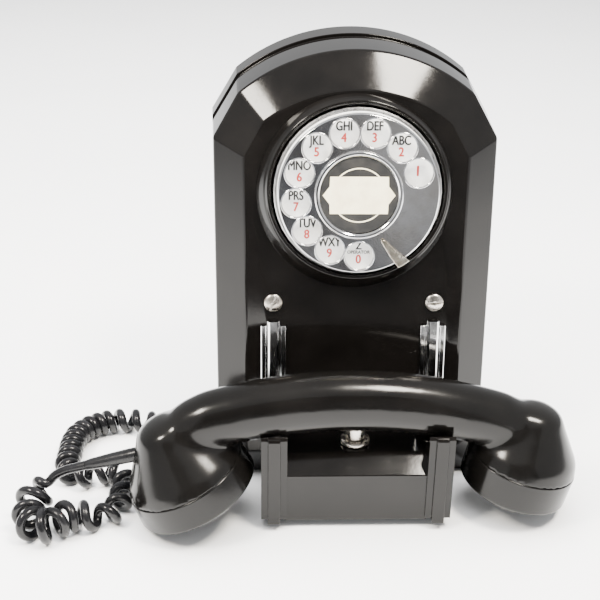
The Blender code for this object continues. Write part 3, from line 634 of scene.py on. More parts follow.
def ribbed_sleeve_tree():
    """Adds round ribs along Z that grow smaller from the foot to the tip."""
    tree = Tree(
        "ribbed_sleeve",
        [
            ("Ribs", "NodeSocketInt", 8),
            ("Start", "NodeSocketFloat", 0.0),
            ("Pitch", "NodeSocketFloat", 0.002),
            ("Foot Radius", "NodeSocketFloat", 0.0036),
            ("Taper", "NodeSocketFloat", 0.0001),
            ("Thickness", "NodeSocketFloat", 0.0004),
            ("Finish", "NodeSocketMaterial", None),
        ],
    )
    given = tree.entry.outputs
    line = tree.add("GeometryNodeMeshLine", {"Count": given["Ribs"]})
    index = tree.add("GeometryNodeInputIndex").outputs["Index"]
    height = tree.math("ADD", given["Start"], tree.math("MULTIPLY", index, given["Pitch"]))
    spot = tree.add("ShaderNodeCombineXYZ", {"Z": height})
    points = tree.add(
        "GeometryNodeSetPosition", {"Geometry": line.outputs["Mesh"], "Position": spot.outputs["Vector"]}
    )
    rib = tree.add("GeometryNodeCurvePrimitiveCircle", {"Resolution": 40, "Radius": 1.0})
    size = tree.math("SUBTRACT", given["Foot Radius"], tree.math("MULTIPLY", index, given["Taper"]))
    scale = tree.add("ShaderNodeCombineXYZ", {"X": size, "Y": size, "Z": 1.0})
    ribs = tree.add(
        "GeometryNodeInstanceOnPoints",
        {
            "Points": points.outputs["Geometry"],
            "Instance": rib.outputs["Curve"],
            "Scale": scale.outputs["Vector"],
        },
    )
    real = tree.add("GeometryNodeRealizeInstances", {"Geometry": ribs.outputs["Instances"]})
    section = tree.add("GeometryNodeCurvePrimitiveCircle", {"Resolution": 10, "Radius": given["Thickness"]})
    tube = tree.add(
        "GeometryNodeCurveToMesh",
        {"Curve": real.outputs["Geometry"], "Profile Curve": section.outputs["Curve"]},
    )
    tree.join_and_close(tube.outputs["Mesh"])
    return tree.group


def apply_tree(obj, group, values):
    """Runs a node group on the object with the named values, and keeps the result."""
    modifier = obj.modifiers.new("build", "NODES")
    modifier.node_group = group
    for item in group.interface.items_tree:
        if item.in_out == "INPUT" and item.name in values:
            modifier[item.identifier] = values[item.name]
    settle(obj)


# --- Cord --------------------------------------------------------------------------------------


def smooth_curve(points, step):
    """Points every step or so along a smooth curve through the given points."""
    knots = [Vector(p) for p in points]
    knots = [2 * knots[0] - knots[1]] + knots + [2 * knots[-1] - knots[-2]]
    found = [knots[1]]
    for a, b, c, d in zip(knots, knots[1:], knots[2:], knots[3:]):
        count = max(1, round((c - b).length / step))
        for i in range(1, count + 1):
            t = i / count
            bend = (2 * a - 5 * b + 4 * c - d) * t**2 + (3 * b - a - 3 * c + d) * t**3
            found.append(0.5 * (2 * b + (c - a) * t + bend))
    return found


def carried_frames(points):
    """The direction along the points and a side that doesn't twist about it, at each."""
    ways = [(b - a).normalized() for a, b in zip(points, points[1:])]
    ways.append(ways[-1])
    side = ways[0].orthogonal().normalized()
    frames = []
    for way in ways:
        side = (side - way * side.dot(way)).normalized()
        frames.append((way, side, way.cross(side)))
    return frames


def read_table(table, at):
    """The value at a place in a table of (place, value), straight between its rows."""
    for (x0, v0), (x1, v1) in zip(table, table[1:]):
        if at <= x1:
            return v0 + (v1 - v0) * (at - x0) / (x1 - x0)
    return table[-1][1]


def coil_path(line, start, end, radius, wire):
    """The wire's path: along the line, and wound about it from start to end, in metres."""
    opening = 0.006
    at = 0.0
    angle = 0.0
    found = []
    for i, (point, (_, side, other)) in enumerate(zip(line, carried_frames(line))):
        step = (point - line[i - 1]).length if i else 0.0
        at += step
        along = min(end, max(start, at)) - start
        if start < at < end:
            angle += 2 * math.pi * step / read_table(TURN_SPACING, along)
        ease = min(1, along / opening, (end - start - along) / opening)
        size = radius * ease * ease * (3 - 2 * ease) * read_table(TURN_WIDTH, along)
        middle = Vector((point.x, point.y, max(point.z, size + wire + 0.0001)))
        found.append(middle + size * (math.cos(angle) * side + math.sin(angle) * other))
    return found


def evenly(points, step):
    """The same line with a point every step along it."""
    found = [points[0]]
    left = step
    for a, b in zip(points, points[1:]):
        length = (b - a).length
        while length >= left:
            a = a + (b - a) * (left / length)
            found.append(a)
            length = (b - a).length
            left = step
        left -= length
    if (points[-1] - found[-1]).length < step / 2:
        found.pop()
    return [*found, points[-1]]


def tube(points, radius, sides=14):
    """A round tube along the points, closed at its ends."""
    rings = []
    for point, (_, side, other) in zip(points, carried_frames(points)):
        ring = []
        for i in range(sides):
            angle = 2 * math.pi * i / sides
            ring.append(point + radius * (math.cos(angle) * side + math.sin(angle) * other))
        rings.append(ring)
    return loft(rings)


def length_of(points):
    return sum((b - a).length for a, b in zip(points, points[1:]))


def metres(name, description, default):
    """A property that holds a length in metres."""
    return FloatProperty(name=name, description=description, default=default, unit="LENGTH")


class CordSizes(bpy.types.PropertyGroup):
    wire_radius: metres("Wire radius", "Half the wire's thickness", 0.0023)
    coil_radius: metres("Coil radius", "From the coil's middle to its outside", 0.0067)
    step: metres("Step", "Distance between rings of the wire", 0.0013)


class TELEPHONE_OT_cord(bpy.types.Operator):
    """Make the curly cord and the sleeve where it leaves the handset"""

    bl_idname = "telephone.cord"
    bl_label = "Cord"

    def execute(self, context):
        sizes = context.scene.telephone_cord
        start = LEAD_EXIT + LEAD_WAY * (RELIEF_LONG + GAP)
        wire = sizes.wire_radius
        lead = length_of(smooth_curve([start, *LEAD_ROUTE, COIL_ROUTE[0]], 0.001))
        coil = length_of(smooth_curve(COIL_ROUTE, 0.001))
        line = smooth_curve([start, *LEAD_ROUTE, *COIL_ROUTE, *ENTRY_ROUTE], 0.0003)
        path = evenly(coil_path(line, lead, lead + coil, sizes.coil_radius - wire, wire), sizes.step)
        cord = as_object("curly_cord", tube(path, wire), "rubber")
        shade(cord, 60)
        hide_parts("cord_lead_handset", "cord_coil", "cord_lead_housing")
        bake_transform(cord)
        sleeve = self.make_sleeve()
        return {"FINISHED"}

    def make_sleeve(self):
        """The tapered sleeve that keeps the cord from kinking at the handset."""
        turn = UP.rotation_difference(LEAD_WAY).to_matrix().to_4x4()
        place = Matrix.Translation(LEAD_EXIT) @ turn
        profile = [(0.0034, -0.0028), (0.0035, 0.0010), (0.0033, 0.0100), (0.0028, 0.0210)]
        profile += [(0.0024, RELIEF_LONG)]
        sleeve = as_object("cord_sleeve", turned(rounded_profile(profile, 0.001), 40), "rubber")
        values = {
            "Ribs": 3,
            "Start": 0.0012,
            "Pitch": 0.0015,
            "Foot Radius": 0.0033,
            "Taper": 0.00002,
            "Thickness": 0.00022,
            "Finish": FINISHES["rubber"],
        }
        apply_tree(sleeve, ribbed_sleeve_tree(), values)
        sleeve.data.transform(place)
        shade(sleeve, 50)
        belongs(sleeve, "cord", "handset", "cord_relief")
        return sleeve


# --- Housing -----------------------------------------------------------------------------------


def housing_ring(plane_y, lean=0.0, inset=0.0, drop=0.0, foot=0.0, steps=40):
    """The housing's outline on a plane, as it narrows with the distance from the wall."""

    def y_at(z):
        return plane_y + lean * (z - DIAL_Z)

    def narrowed(z):
        return DRAFT * (WALL_Y - y_at(z)) + inset

    low = narrowed(DIAL_Z)
    high = narrowed(DIAL_Z + 0.0411)
    low_corner = (HALF_WIDTH - low, DIAL_Z + 0.0195 - 0.277 * low - drop)
    side = 0.0582 - 0.772 * high
    shoulder = DIAL_Z + 0.0411 - 0.658 * high - drop
    crown = DIAL_Z + 0.062 - narrowed(DIAL_Z + 0.062) - drop
    rise = crown - shoulder
    radius = (side**2 + rise**2) / (2 * rise)
    half_angle = math.asin(side / radius)
    arc = []
    for i in range(steps + 1):
        angle = half_angle * (1 - 2 * i / steps)
        arc.append((radius * math.sin(angle), crown - radius + radius * math.cos(angle)))
    bottom_x = HALF_WIDTH - narrowed(0)
    outline = [(bottom_x, foot), low_corner, *arc]
    outline += [(-low_corner[0], low_corner[1]), (-bottom_x, foot)]
    return [(x, y_at(z), z) for x, z in outline]


class HousingSizes(bpy.types.PropertyGroup):
    rounding: metres("Rounding", "Radius of the cover's edges", 0.0010)
    rest_rounding: metres("Cradle rounding", "Radius of the cradle's edges", 0.0005)
    tower_chamfer: metres("Tower chamfer", "Height of the chamfer on top of each tower", 0.0022)
    fine_rounding: metres("Fine rounding", "Radius of the smaller edges", 0.0004)


class TELEPHONE_OT_housing(bpy.types.Operator):
    """Make the moulded cover and the base behind it"""

    bl_idname = "telephone.housing"
    bl_label = "Housing"

    def execute(self, context):
        sizes = context.scene.telephone_housing
        rim_y = WALL_Y - COVER_DEPTH
        wall = 0.003
        rings = [
            housing_ring(FACE_Y, LEAN, 0.0145, 0.0014, 0.017),
            housing_ring(BEVEL_Y, LEAN),
            housing_ring(rim_y),
            housing_ring(rim_y, inset=wall, foot=wall),
            housing_ring(BEVEL_Y + 0.0015, LEAN, wall, foot=wall),
            housing_ring(FACE_Y + 0.0030, LEAN, 0.0154, 0.0014, 0.0179),
        ]
        cover = as_object("moulded_cover", loft(rings), "housing")
        rounded(cover, sizes.rounding, 4, 12)
        opening = turned([(0.0404, -0.010), (0.0404, 0.010)], 96)
        for side in (-1, 1):
            x = side * SCREW_X
            bar((x, -SCREW_DROP, -0.010), (x, -SCREW_DROP, 0.005), 0.0021, 24, opening)
        cut(cover, opening, TO_DIAL)
        window = block((-0.036, -0.030, 0.0095), (0.036, 0.004, 0.034))
        bar((-0.075, 0.018, 0.009), (-0.061, 0.018, 0.009), 0.0041, 24, window)
        cut(cover, window)
        belongs(cover, "housing", "root", "front_cover")
        self.make_base(sizes)
        return {"FINISHED"}

    def make_base(self, sizes):
        """The tray against the wall, with the groove between it and the cover."""
        neck_y = WALL_Y - COVER_DEPTH + GAP
        band_y = WALL_Y - 0.0139
        lip_y = neck_y - 0.004
        rings = [
            housing_ring(WALL_Y),
            housing_ring(band_y),
            housing_ring(band_y, inset=0.0018, foot=0.0018),
            housing_ring(neck_y, inset=0.0018, foot=0.0018),
            housing_ring(neck_y, inset=0.0033, foot=0.0033),
            housing_ring(lip_y, inset=0.0033, foot=0.0033),
            housing_ring(lip_y, inset=0.0053, foot=0.0053),
            housing_ring(WALL_Y - 0.003, inset=0.0053, foot=0.0053),
        ]
        base = as_object("moulded_base", loft(rings), "housing")
        rounded(base, sizes.fine_rounding, 3, 12)
        holes = bmesh.new()
        for x, z in ((0, 0.195), (-0.035, 0.030), (0.035, 0.030)):
            bar((x, WALL_Y - 0.006, z), (x, WALL_Y + 0.003, z), 0.0026, 32, holes)
        block((-0.018, WALL_Y - 0.006, 0.088), (0.018, WALL_Y + 0.003, 0.100), holes)
        cut(base, holes)
        belongs(base, "housing", "root", "rear_base")


def side_prism(outline, low, high):
    """An outline of (Y, Z) points, extruded along X."""
    return loft([[(x, y, z) for y, z in outline] for x in (low, high)])


def tower_outline(front, foot, top, back, chamfer):
    """Side view of a tower: front, chamfered top, saddle for the grip and back edge."""
    saddle_y, saddle_z, saddle_radius = -0.0410, 0.0560, 0.015
    start = math.pi + math.asin((saddle_z - top) / saddle_radius)
    points = [(front, foot), (front, top - chamfer), (front + 0.6 * chamfer, top)]
    for i in range(17):
        angle = start + (3 * math.pi - 2 * start) * i / 16
        points.append((saddle_y + saddle_radius * math.cos(angle), saddle_z + saddle_radius * math.sin(angle)))
    return points + [(back, top), (back, foot)]


class TELEPHONE_OT_cradle(bpy.types.Operator):
    """Make the cradle, the bright strips, the cover's screws and the hook plunger"""

    bl_idname = "telephone.cradle"
    bl_label = "Cradle and trim"

    def execute(self, context):
        sizes = context.scene.telephone_housing
        self.make_rest(sizes)
        for side in ("left", "right"):
            strip = cad_copy(f"bright_strip_{side}", f"chrome_strip_{side}", "strip")
            rounded(strip, 0.00025, 3, 25)
            belongs(strip, "chrome", "root", f"chrome_strip_{side}")
        for name, x, slot_turn in (("left", -SCREW_X, 68), ("right", SCREW_X, 4)):
            self.make_screw(name, x, slot_turn)
        self.make_plunger()
        return {"FINISHED"}

    def make_rest(self, sizes):
        """The panel and the two ribbed towers, hollow behind, with the plunger's bore."""
        panel = [(-0.0555, 0.0045), (-0.0555, 0.0300), (-0.0455, 0.0372), (0.0, 0.0372), (0.0, 0.0045)]
        rest = as_object("moulded_cradle", side_prism(panel, -0.0345, 0.0345), "housing")
        rounded(rest, sizes.rest_rounding, 4, 25)
        ribs = ((-0.0570, 0.0063, 0.0517, 0.001, 0.0062), (-0.0588, 0.0042, 0.0519, 0.002, 0.0030))
        for x in (-0.0397, 0.0397):
            for front, foot, top, back, half in ribs:
                outline = tower_outline(front, foot, top, back, sizes.tower_chamfer)
                rib = as_object("rib", side_prism(outline, x - half, x + half), "housing")
                rounded(rib, sizes.rest_rounding, 3, 40)
                solid = bmesh.new()
                solid.from_mesh(rib.data)
                bpy.data.objects.remove(rib)
                cut(rest, solid, None, "UNION")
        cut(rest, block((-0.0425, -0.0530, 0.0080), (0.0425, 0.0100, 0.0290)))
        cut(rest, block((-0.0320, -0.0445, 0.0285), (0.0320, 0.0100, 0.0347)))
        behind = [(0.050, -0.010), (0.050, 0.090)]
        behind += [(max(FACE_Y + LEAN * (z - DIAL_Z) - GAP, -0.0144), z) for z in (0.090, 0.017, -0.010)]
        cut(rest, side_prism(behind, -0.060, 0.060))
        cut(rest, bar((0, PLUNGER_Y, 0.028), (0, PLUNGER_Y, 0.045), 0.0034, 48))
        even_shading(rest, 35)
        belongs(rest, "housing", "root", "handset_cradle")

    def make_screw(self, name, x, slot_turn):
        """A slotted screw with a low domed head."""
        head = [(0.0018, -0.0137), (0.0018, GAP), (0.0045, GAP), (0.0045, 0.0010)]
        for i in range(1, 9):
            angle = math.pi / 2 * i / 8.6
            head.append((0.0045 * math.cos(angle), 0.0010 + 0.0014 * math.sin(angle)))
        place = TO_DIAL @ Matrix.Translation((x, -SCREW_DROP, 0))
        place = place @ Matrix.Rotation(math.radians(slot_turn), 4, "Z")
        screw = as_object(f"domed_screw_{name}", turned(head, 64), "nickel", place)
        cut(screw, block((-0.006, -0.0005, 0.0014), (0.006, 0.0005, 0.0040)), place)
        rounded(screw, 0.00012, 2, 35)
        belongs(screw, "nickel", "root", f"cover_screw_{name}")

    def make_plunger(self):
        place = Matrix.Translation((0, PLUNGER_Y, 0))
        profile = [(0.0030, 0.0285), (0.0030, 0.0383), (0.0045, 0.0383), (0.0045, 0.0460), (0.0036, 0.0474)]
        button = as_object("plunger_button", turned(rounded_profile(profile, 0.0008), 64), "nickel", place)
        shade(button, 40)
        belongs(button, "nickel", "plunger", "hook_plunger")
        low = 0.0375
        profile = [(0.0049, low), (0.0072, low), (0.0072, low + 0.0016)]
        profile += [(0.0064, low + 0.0024), (0.0049, low + 0.0024)]
        collar = as_object("plunger_guide", washer(profile, 64), "nickel", place)
        rounded(collar, 0.0002, 3, 30)
        belongs(collar, "nickel", "root", "plunger_collar")


# --- Dial --------------------------------------------------------------------------------------


class DialSizes(bpy.types.PropertyGroup):
    holes: IntProperty(name="Finger holes", description="How many finger holes the wheel has", default=10)
    hole_radius: metres("Hole radius", "Radius of a finger hole", 0.0066)
    wheel_radius: metres("Wheel radius", "Radius of the wheel", 0.0381)
    letter_size: metres("Letter size", "Size of the letters", 0.0062)
    figure_size: metres("Figure size", "Size of the figures", 0.0060)


LETTERS = ("", "ABC", "DEF", "GHI", "JKL", "MNO", "PRS", "TUV", "WXY", "OPERATOR")
# To look bold, each text is printed four times, a little apart: across and along in parts of its
# size, and higher by the last number, in metres.
STRIKES = ((-0.03, 0, 0), (0.03, 0, 0.000004), (0, 0.02, 0.000008), (0, -0.02, 0.000012))


def print_mesh(text, size, width, place):
    """The mesh of a text, printed thin on the plate at a place."""
    curve = bpy.data.curves.new("print", "FONT")
    curve.body = text
    curve.size = size
    curve.align_x = "CENTER"
    curve.align_y = "CENTER"
    curve.extrude = 0.00004
    curve.resolution_u = 5
    text_object = bpy.data.objects.new("print", curve)
    bpy.context.scene.collection.objects.link(text_object)
    graph = bpy.context.evaluated_depsgraph_get()
    mesh = bpy.data.meshes.new_from_object(text_object.evaluated_get(graph), depsgraph=graph)
    bpy.data.objects.remove(text_object)
    mesh.transform(place @ Matrix.Diagonal((width, 1, 1, 1)))
    mesh.materials.clear()
    return mesh


class TELEPHONE_OT_dial(bpy.types.Operator):
    """Make the dial: its mounting ring, number plate, finger wheel, card and stop"""

    bl_idname = "telephone.dial"
    bl_label = "Dial"

    def execute(self, context):
        sizes = context.scene.telephone_dial
        self.make_surround()
        self.make_plate(sizes)
        self.make_wheel(sizes)
        self.make_card()
        stop = cad_copy("finger_stop_blade", "finger_stop", "stop")
        rounded(stop, 0.0003, 3, 25)
        belongs(stop, "chrome", "root", "finger_stop")
        return {"FINISHED"}

    def make_surround(self):
        """The stepped moulded ring that the dial stands in."""
        ring = [
            (0.0407, GAP),
            (0.0473, GAP),
            (0.0470, 0.0012),
            (0.0446, 0.0054),
            (0.0438, 0.0060),
            (0.0430, 0.0074),
            (0.0424, 0.0076),
            (0.0412, 0.0072),
            (0.0407, 0.0064),
        ]
        surround = washer(ring, 128)
        for vert in surround.verts:
            if vert.co.xy.length > 0.0414:
                vert.co += RING_SLIP * max(0, 1 - vert.co.z / 0.0060)
        obj = as_object("dial_surround", surround, "housing", TO_DIAL)
        rounded(obj, 0.00022, 2, 14)
        belongs(obj, "housing", "root", "dial_mounting_ring")

    def make_plate(self, sizes):
        """The enamelled plate, its letters and figures."""
        plate = [(0.0060, 0.0093), (0.0383, 0.0093), (0.0383, 0.0101)]
        plate += [(0.0381, PLATE_TOP), (0.0060, PLATE_TOP)]
        obj = as_object("enamel_plate", washer(plate, 128), "enamel", TO_DIAL)
        shade(obj, 30)
        belongs(obj, "enamel", "root", "number_plate")
        self.join_print(sizes)

    def join_print(self, sizes):
        """All the printed characters as one piece with two colours."""
        name = "plate_print"
        whole = bpy.data.meshes.new(name)
        bm = bmesh.new()
        for i in range(sizes.holes):
            angle = FIRST_HOLE + i * HOLE_STEP
            middle = Vector((HOLE_RING * math.cos(angle), HOLE_RING * math.sin(angle), PLATE_TOP + 0.00004))
            digit = (str((i + 1) % 10), sizes.figure_size, 0.86, -0.0028, 1)
            if not LETTERS[i]:
                marks = [(digit[0], 1.15 * sizes.figure_size, 0.9, 0, 1)]
            elif len(LETTERS[i]) < 4:
                marks = [digit, (LETTERS[i], sizes.letter_size, 0.74, 0.0026, 0)]
            else:
                marks = [digit, ("Z", 0.8 * sizes.letter_size, 0.9, 0.0038, 0)]
                marks.append((LETTERS[i], 0.36 * sizes.letter_size, 0.95, 0.0008, 0))
            for text, size, width, rise, slot in marks:
                place = TO_DIAL @ Matrix.Translation(middle + Vector((0, rise, 0)))
                before = len(bm.faces)
                for across, along, above in STRIKES:
                    strike = Matrix.Translation((across * size, along * size, above))
                    bm.from_mesh(print_mesh(text, size, width, place @ strike))
                bm.faces.ensure_lookup_table()
                for face in bm.faces[before:]:
                    face.material_index = slot
        bm.to_mesh(whole)
        bm.free()
        whole.materials.append(FINISHES["black_print"])
        whole.materials.append(FINISHES["red_print"])
        obj = bpy.data.objects.new(name, whole)
        bpy.context.scene.collection.objects.link(obj)
        belongs(obj, "enamel", "root")

    def make_wheel(self, sizes):
        """The chromed wheel with its finger holes, their edges softened."""
        radius = sizes.wheel_radius
        profile = [(radius - 0.0005, WHEEL_H), (radius, WHEEL_H + 0.0005), (radius, WHEEL_TOP - 0.0006)]
        profile += [(radius - 0.0006, WHEEL_TOP)]
        wheel = as_object("chromed_wheel", turned(profile, 160), "chrome")
        ring = {
            "Holes": sizes.holes,
            "Ring Radius": HOLE_RING,
            "First Angle": FIRST_HOLE,
            "Step Angle": HOLE_STEP,
            "Finish": FINISHES["chrome"],
        }
        drill = {"Hole Radius": sizes.hole_radius, "Height": WHEEL_H, "Depth": 0.008, "Sides": 64}
        apply_tree(wheel, bored_ring_tree(), ring | drill)
        rounded(wheel, 0.0005, 4, 35)
        rim = {"Rim Radius": sizes.hole_radius + 0.00035, "Height": WHEEL_TOP - 0.00005, "Thickness": 0.00042}
        apply_tree(wheel, rimmed_ring_tree(), ring | rim)
        shade(wheel, 40)
        wheel.data.transform(TO_DIAL)
        belongs(wheel, "chrome", "dial", "finger_wheel")

    def make_card(self):
        """The bright bezel, the black disc it holds and the cream label on the disc."""
        low = WHEEL_TOP + GAP
        ring = [
            (0.0184, low),
            (0.0209, low),
            (0.0209, low + 0.0010),
            (0.0203, low + 0.0018),
            (0.0192, low + 0.0018),
            (0.0184, low + 0.0011),
        ]
        bezel = as_object("card_bezel", washer(ring, 128), "chrome", TO_DIAL)
        rounded(bezel, 0.00025, 3, 20)
        belongs(bezel, "chrome", "dial", "card_ring")
        disc = as_object("card_disc", turned([(0.0181, low), (0.0181, low + 0.0007)], 96), "backing", TO_DIAL)
        shade(disc, 30)
        belongs(disc, "card", "dial", "number_card")
        face = low + 0.0007
        line = [(0.0124, face), (0.0130, face), (0.0130, face + 0.00006), (0.0124, face + 0.00006)]
        circle_line = as_object("card_circle", washer(line, 128), "card", TO_DIAL)
        belongs(circle_line, "card", "dial")
        corner = [(0.0170, 0.0), (0.0138, 0.0042), (0.0136, 0.0088)]
        outline = corner + [(-x, y) for x, y in reversed(corner)] + [(-x, -y) for x, y in corner[1:]]
        outline += [(x, -y) for x, y in reversed(corner[1:])]
        rings = [[(x, y, h) for x, y in outline] for h in (low + 0.00078, low + 0.00092)]
        label = as_object("card_label", loft(rings), "card", TO_DIAL)
        belongs(label, "card", "dial")


# --- Handset -----------------------------------------------------------------------------------


class HandsetSizes(bpy.types.PropertyGroup):
    grip_half_high: metres("Half height", "Half the grip's height", 0.0147)
    grip_half_deep: metres("Half depth", "Half the grip's depth", 0.0134)
    blend_steps: IntProperty(
        name="Blend steps", description="How far the grip and the bells run together", default=110
    )
    cell: metres("Cell", "Cell size of the blended skin", 0.0009)


def end_place(seam, tilt):
    return Matrix.Translation(seam) @ (
        Matrix.Rotation(HANDSET_YAW, 4, "Z") @ Matrix.Rotation(tilt, 4, "Y")
    )


class TELEPHONE_OT_handset(bpy.types.Operator):
    """Make the handset: one moulded handle with two bells, and the caps on them"""

    bl_idname = "telephone.handset"
    bl_label = "Handset"

    def execute(self, context):
        sizes = context.scene.telephone_handset
        handle = as_object("moulded_handle", self.grip(sizes), "handset")
        ends = (
            (end_place(MOUTH_SEAM, MOUTH_TILT), MOUTH_RADIUS, 0.0044, 0.0278, 0.0245, 0.0139),
            (end_place(EAR_SEAM, EAR_TILT), EAR_RADIUS, 0.0063, 0.0254, 0.0240, 0.0132),
        )
        for place, radius, edge, edge_radius, shoulder, shoulder_radius in ends:
            profile = [(radius, -0.0005), (edge_radius, edge), (shoulder_radius, shoulder)]
            for i in range(1, 9):
                angle = math.pi / 2 * i / 8.6
                profile.append((shoulder_radius * math.cos(angle), shoulder + 0.006 * math.sin(angle)))
            cut(handle, turned(profile, 96), place, "UNION")
        remesh = handle.modifiers.new("skin", "REMESH")
        remesh.mode = "VOXEL"
        remesh.voxel_size = sizes.cell
        settle(handle)
        self.blend_bells(handle, (ends[0][0], ends[1][0]), sizes.blend_steps)
        handle.data.materials.clear()
        handle.data.materials.append(FINISHES["handset"])
        for polygon in handle.data.polygons:
            polygon.use_smooth = True
        belongs(handle, "handset", "handset", "handset_handle")
        self.make_cap("mouth_cap", "transmitter_cap", ends[0][0], MOUTH_RADIUS, 0.0309, 0.0141, 0.0090)
        self.make_cap("ear_cap", "receiver_cap", ends[1][0], EAR_RADIUS, 0.0268, 0.0162, 0.0070)
        return {"FINISHED"}

    def blend_bells(self, handle, places, steps):
        """Runs the grip and the bells into each other, away from the seams."""
        group = handle.vertex_groups.new(name="blend")
        inward = [place.inverted() for place in places]
        for vert in handle.data.vertices:
            end = inward[0] if vert.co.x < 0 else inward[1]
            rise = min(1, max(0, ((end @ vert.co).z - 0.003) / 0.009))
            reach = min(1, max(0, (abs(vert.co.x) - 0.030) / 0.025))
            group.add([vert.index], 0.03 + 0.97 * rise * reach, "REPLACE")
        smooth = handle.modifiers.new("blend", "SMOOTH")
        smooth.vertex_group = "blend"
        smooth.factor = 0.5
        smooth.iterations = steps
        settle(handle)
        handle.vertex_groups.clear()

    def grip(self, sizes):
        """The bowed bar from one bell to the other, its ends rounded off."""
        stations = [(-0.092, 0.35), (-0.0905, 0.55), (-0.088, 0.74), (-0.083, 0.88)]
        stations += [(-0.074 + 0.0037 * i, 1.0) for i in range(41)]
        stations += [(-x, s) for x, s in reversed(stations[:4])]
        rings = []
        for x, swell in stations:
            middle = Vector((x, -0.0415 + 0.0483 * x, 0.0633 - 0.038 * x - 2.14 * x * x))
            ring = []
            for i in range(48):
                angle = 2 * math.pi * i / 48
                across = swell * sizes.grip_half_deep * math.cos(angle)
                up = swell * sizes.grip_half_high * math.sin(angle)
                ring.append(middle + Vector((0, across, up)))
            rings.append(ring)
        return loft(rings)

    def make_cap(self, name, node, place, radius, lip_radius, length, holes_radius):
        """A screwed cap with a turned rim, a domed front and its sound holes."""
        outer = [
            (radius - 0.0038, -GAP / 2),
            (radius - 0.0004, -GAP / 2),
            (radius, -GAP / 2 - 0.0004),
            (lip_radius, -length + 0.0010),
            (lip_radius - 0.0010, -length),
            (lip_radius - 0.0052, -length - 0.0030),
            (lip_radius - 0.0110, -length - 0.0040),
        ]
        inner = [
            (lip_radius - 0.0110, -length - 0.0012),
            (lip_radius - 0.0062, -length - 0.0002),
            (radius - 0.0038, -length + 0.0015),
        ]
        profile = rounded_profile(outer, 0.0012, 5)
        rings = [circle(r, h, 96) for r, h in [*profile, *reversed(inner)]]
        cap = as_object(name, self.capped(rings, len(profile)), "handset")
        tree = bpy.data.node_groups.get("bored_ring") or bored_ring_tree()
        for count, ring_radius in ((1, 0.0), (6, holes_radius)):
            values = {
                "Holes": count,
                "Ring Radius": ring_radius,
                "Hole Radius": 0.0016,
                "First Angle": 0.0,
                "Step Angle": 2 * math.pi / count,
                "Height": -length - 0.003,
                "Depth": 0.012,
                "Sides": 24,
                "Finish": FINISHES["handset"],
            }
            apply_tree(cap, tree, values)
        cap.data.transform(place)
        shade(cap, 35)
        belongs(cap, "handset", "handset", node)

    def capped(self, rings, outer_count):
        """The cap's wall: outside down to the front, back up inside, and both fronts closed."""
        bm = bmesh.new()
        rows = [[bm.verts.new(p) for p in ring] for ring in rings]
        outside = rows[:outer_count]
        inside = rows[outer_count:]
        skin(bm, outside)
        skin(bm, [rows[0], *inside])
        bm.faces.new(outside[-1])
        bm.faces.new(inside[-1])
        return bm


# --- Stage -------------------------------------------------------------------------------------


class StageSettings(bpy.types.PropertyGroup):
    floor_colour: FloatVectorProperty(
        name="Floor", description="Colour of the floor", subtype="COLOR", size=3, default=(0.92, 0.92, 0.92)
    )
    key_power: FloatProperty(
        name="Key light", description="Strength of the large overhead light", default=105.0, unit="POWER"
    )
    lamp_power: FloatProperty(
        name="Lamps", description="Strength of the right lamp; the left has 0.6 of it", default=20.0, unit="POWER"
    )
    room_glow: FloatProperty(name="Room", description="Brightness of the pale room", default=1.05)


class FinishSettings(bpy.types.PropertyGroup):
    housing_colour: FloatVectorProperty(
        name="Housing",
        description="Colour of the housing",
        subtype="COLOR",
        size=3,
        default=(0.0022, 0.0019, 0.0017),
    )
    handset_colour: FloatVectorProperty(
        name="Handset",
        description="Colour of the handset",
        subtype="COLOR",
        size=3,
        default=(0.0021, 0.0019, 0.0017),
    )
    housing_gloss: FloatProperty(name="Housing roughness", description="0 is a mirror", default=0.07)
    handset_gloss: FloatProperty(name="Handset roughness", description="0 is a mirror", default=0.15)


class TELEPHONE_OT_finishes(bpy.types.Operator):
    """Make every finish and give each CAD node its own"""

    bl_idname = "telephone.finishes"
    bl_label = "Finishes"

    def execute(self, context):
        make_finishes()
        finish_nodes()
        return {"FINISHED"}


def area_light(name, place, target, size, power, colour=(1, 1, 1)):
    light = bpy.data.lights.new(name, "AREA")
    light.shape = "RECTANGLE"
    light.size, light.size_y = size
    light.energy = power
    light.color = colour
    obj = bpy.data.objects.new(name, light)
    obj.location = place
    obj.rotation_euler = (Vector(target) - Vector(place)).to_track_quat("-Z", "Y").to_euler()
    bpy.context.scene.collection.objects.link(obj)
    return obj


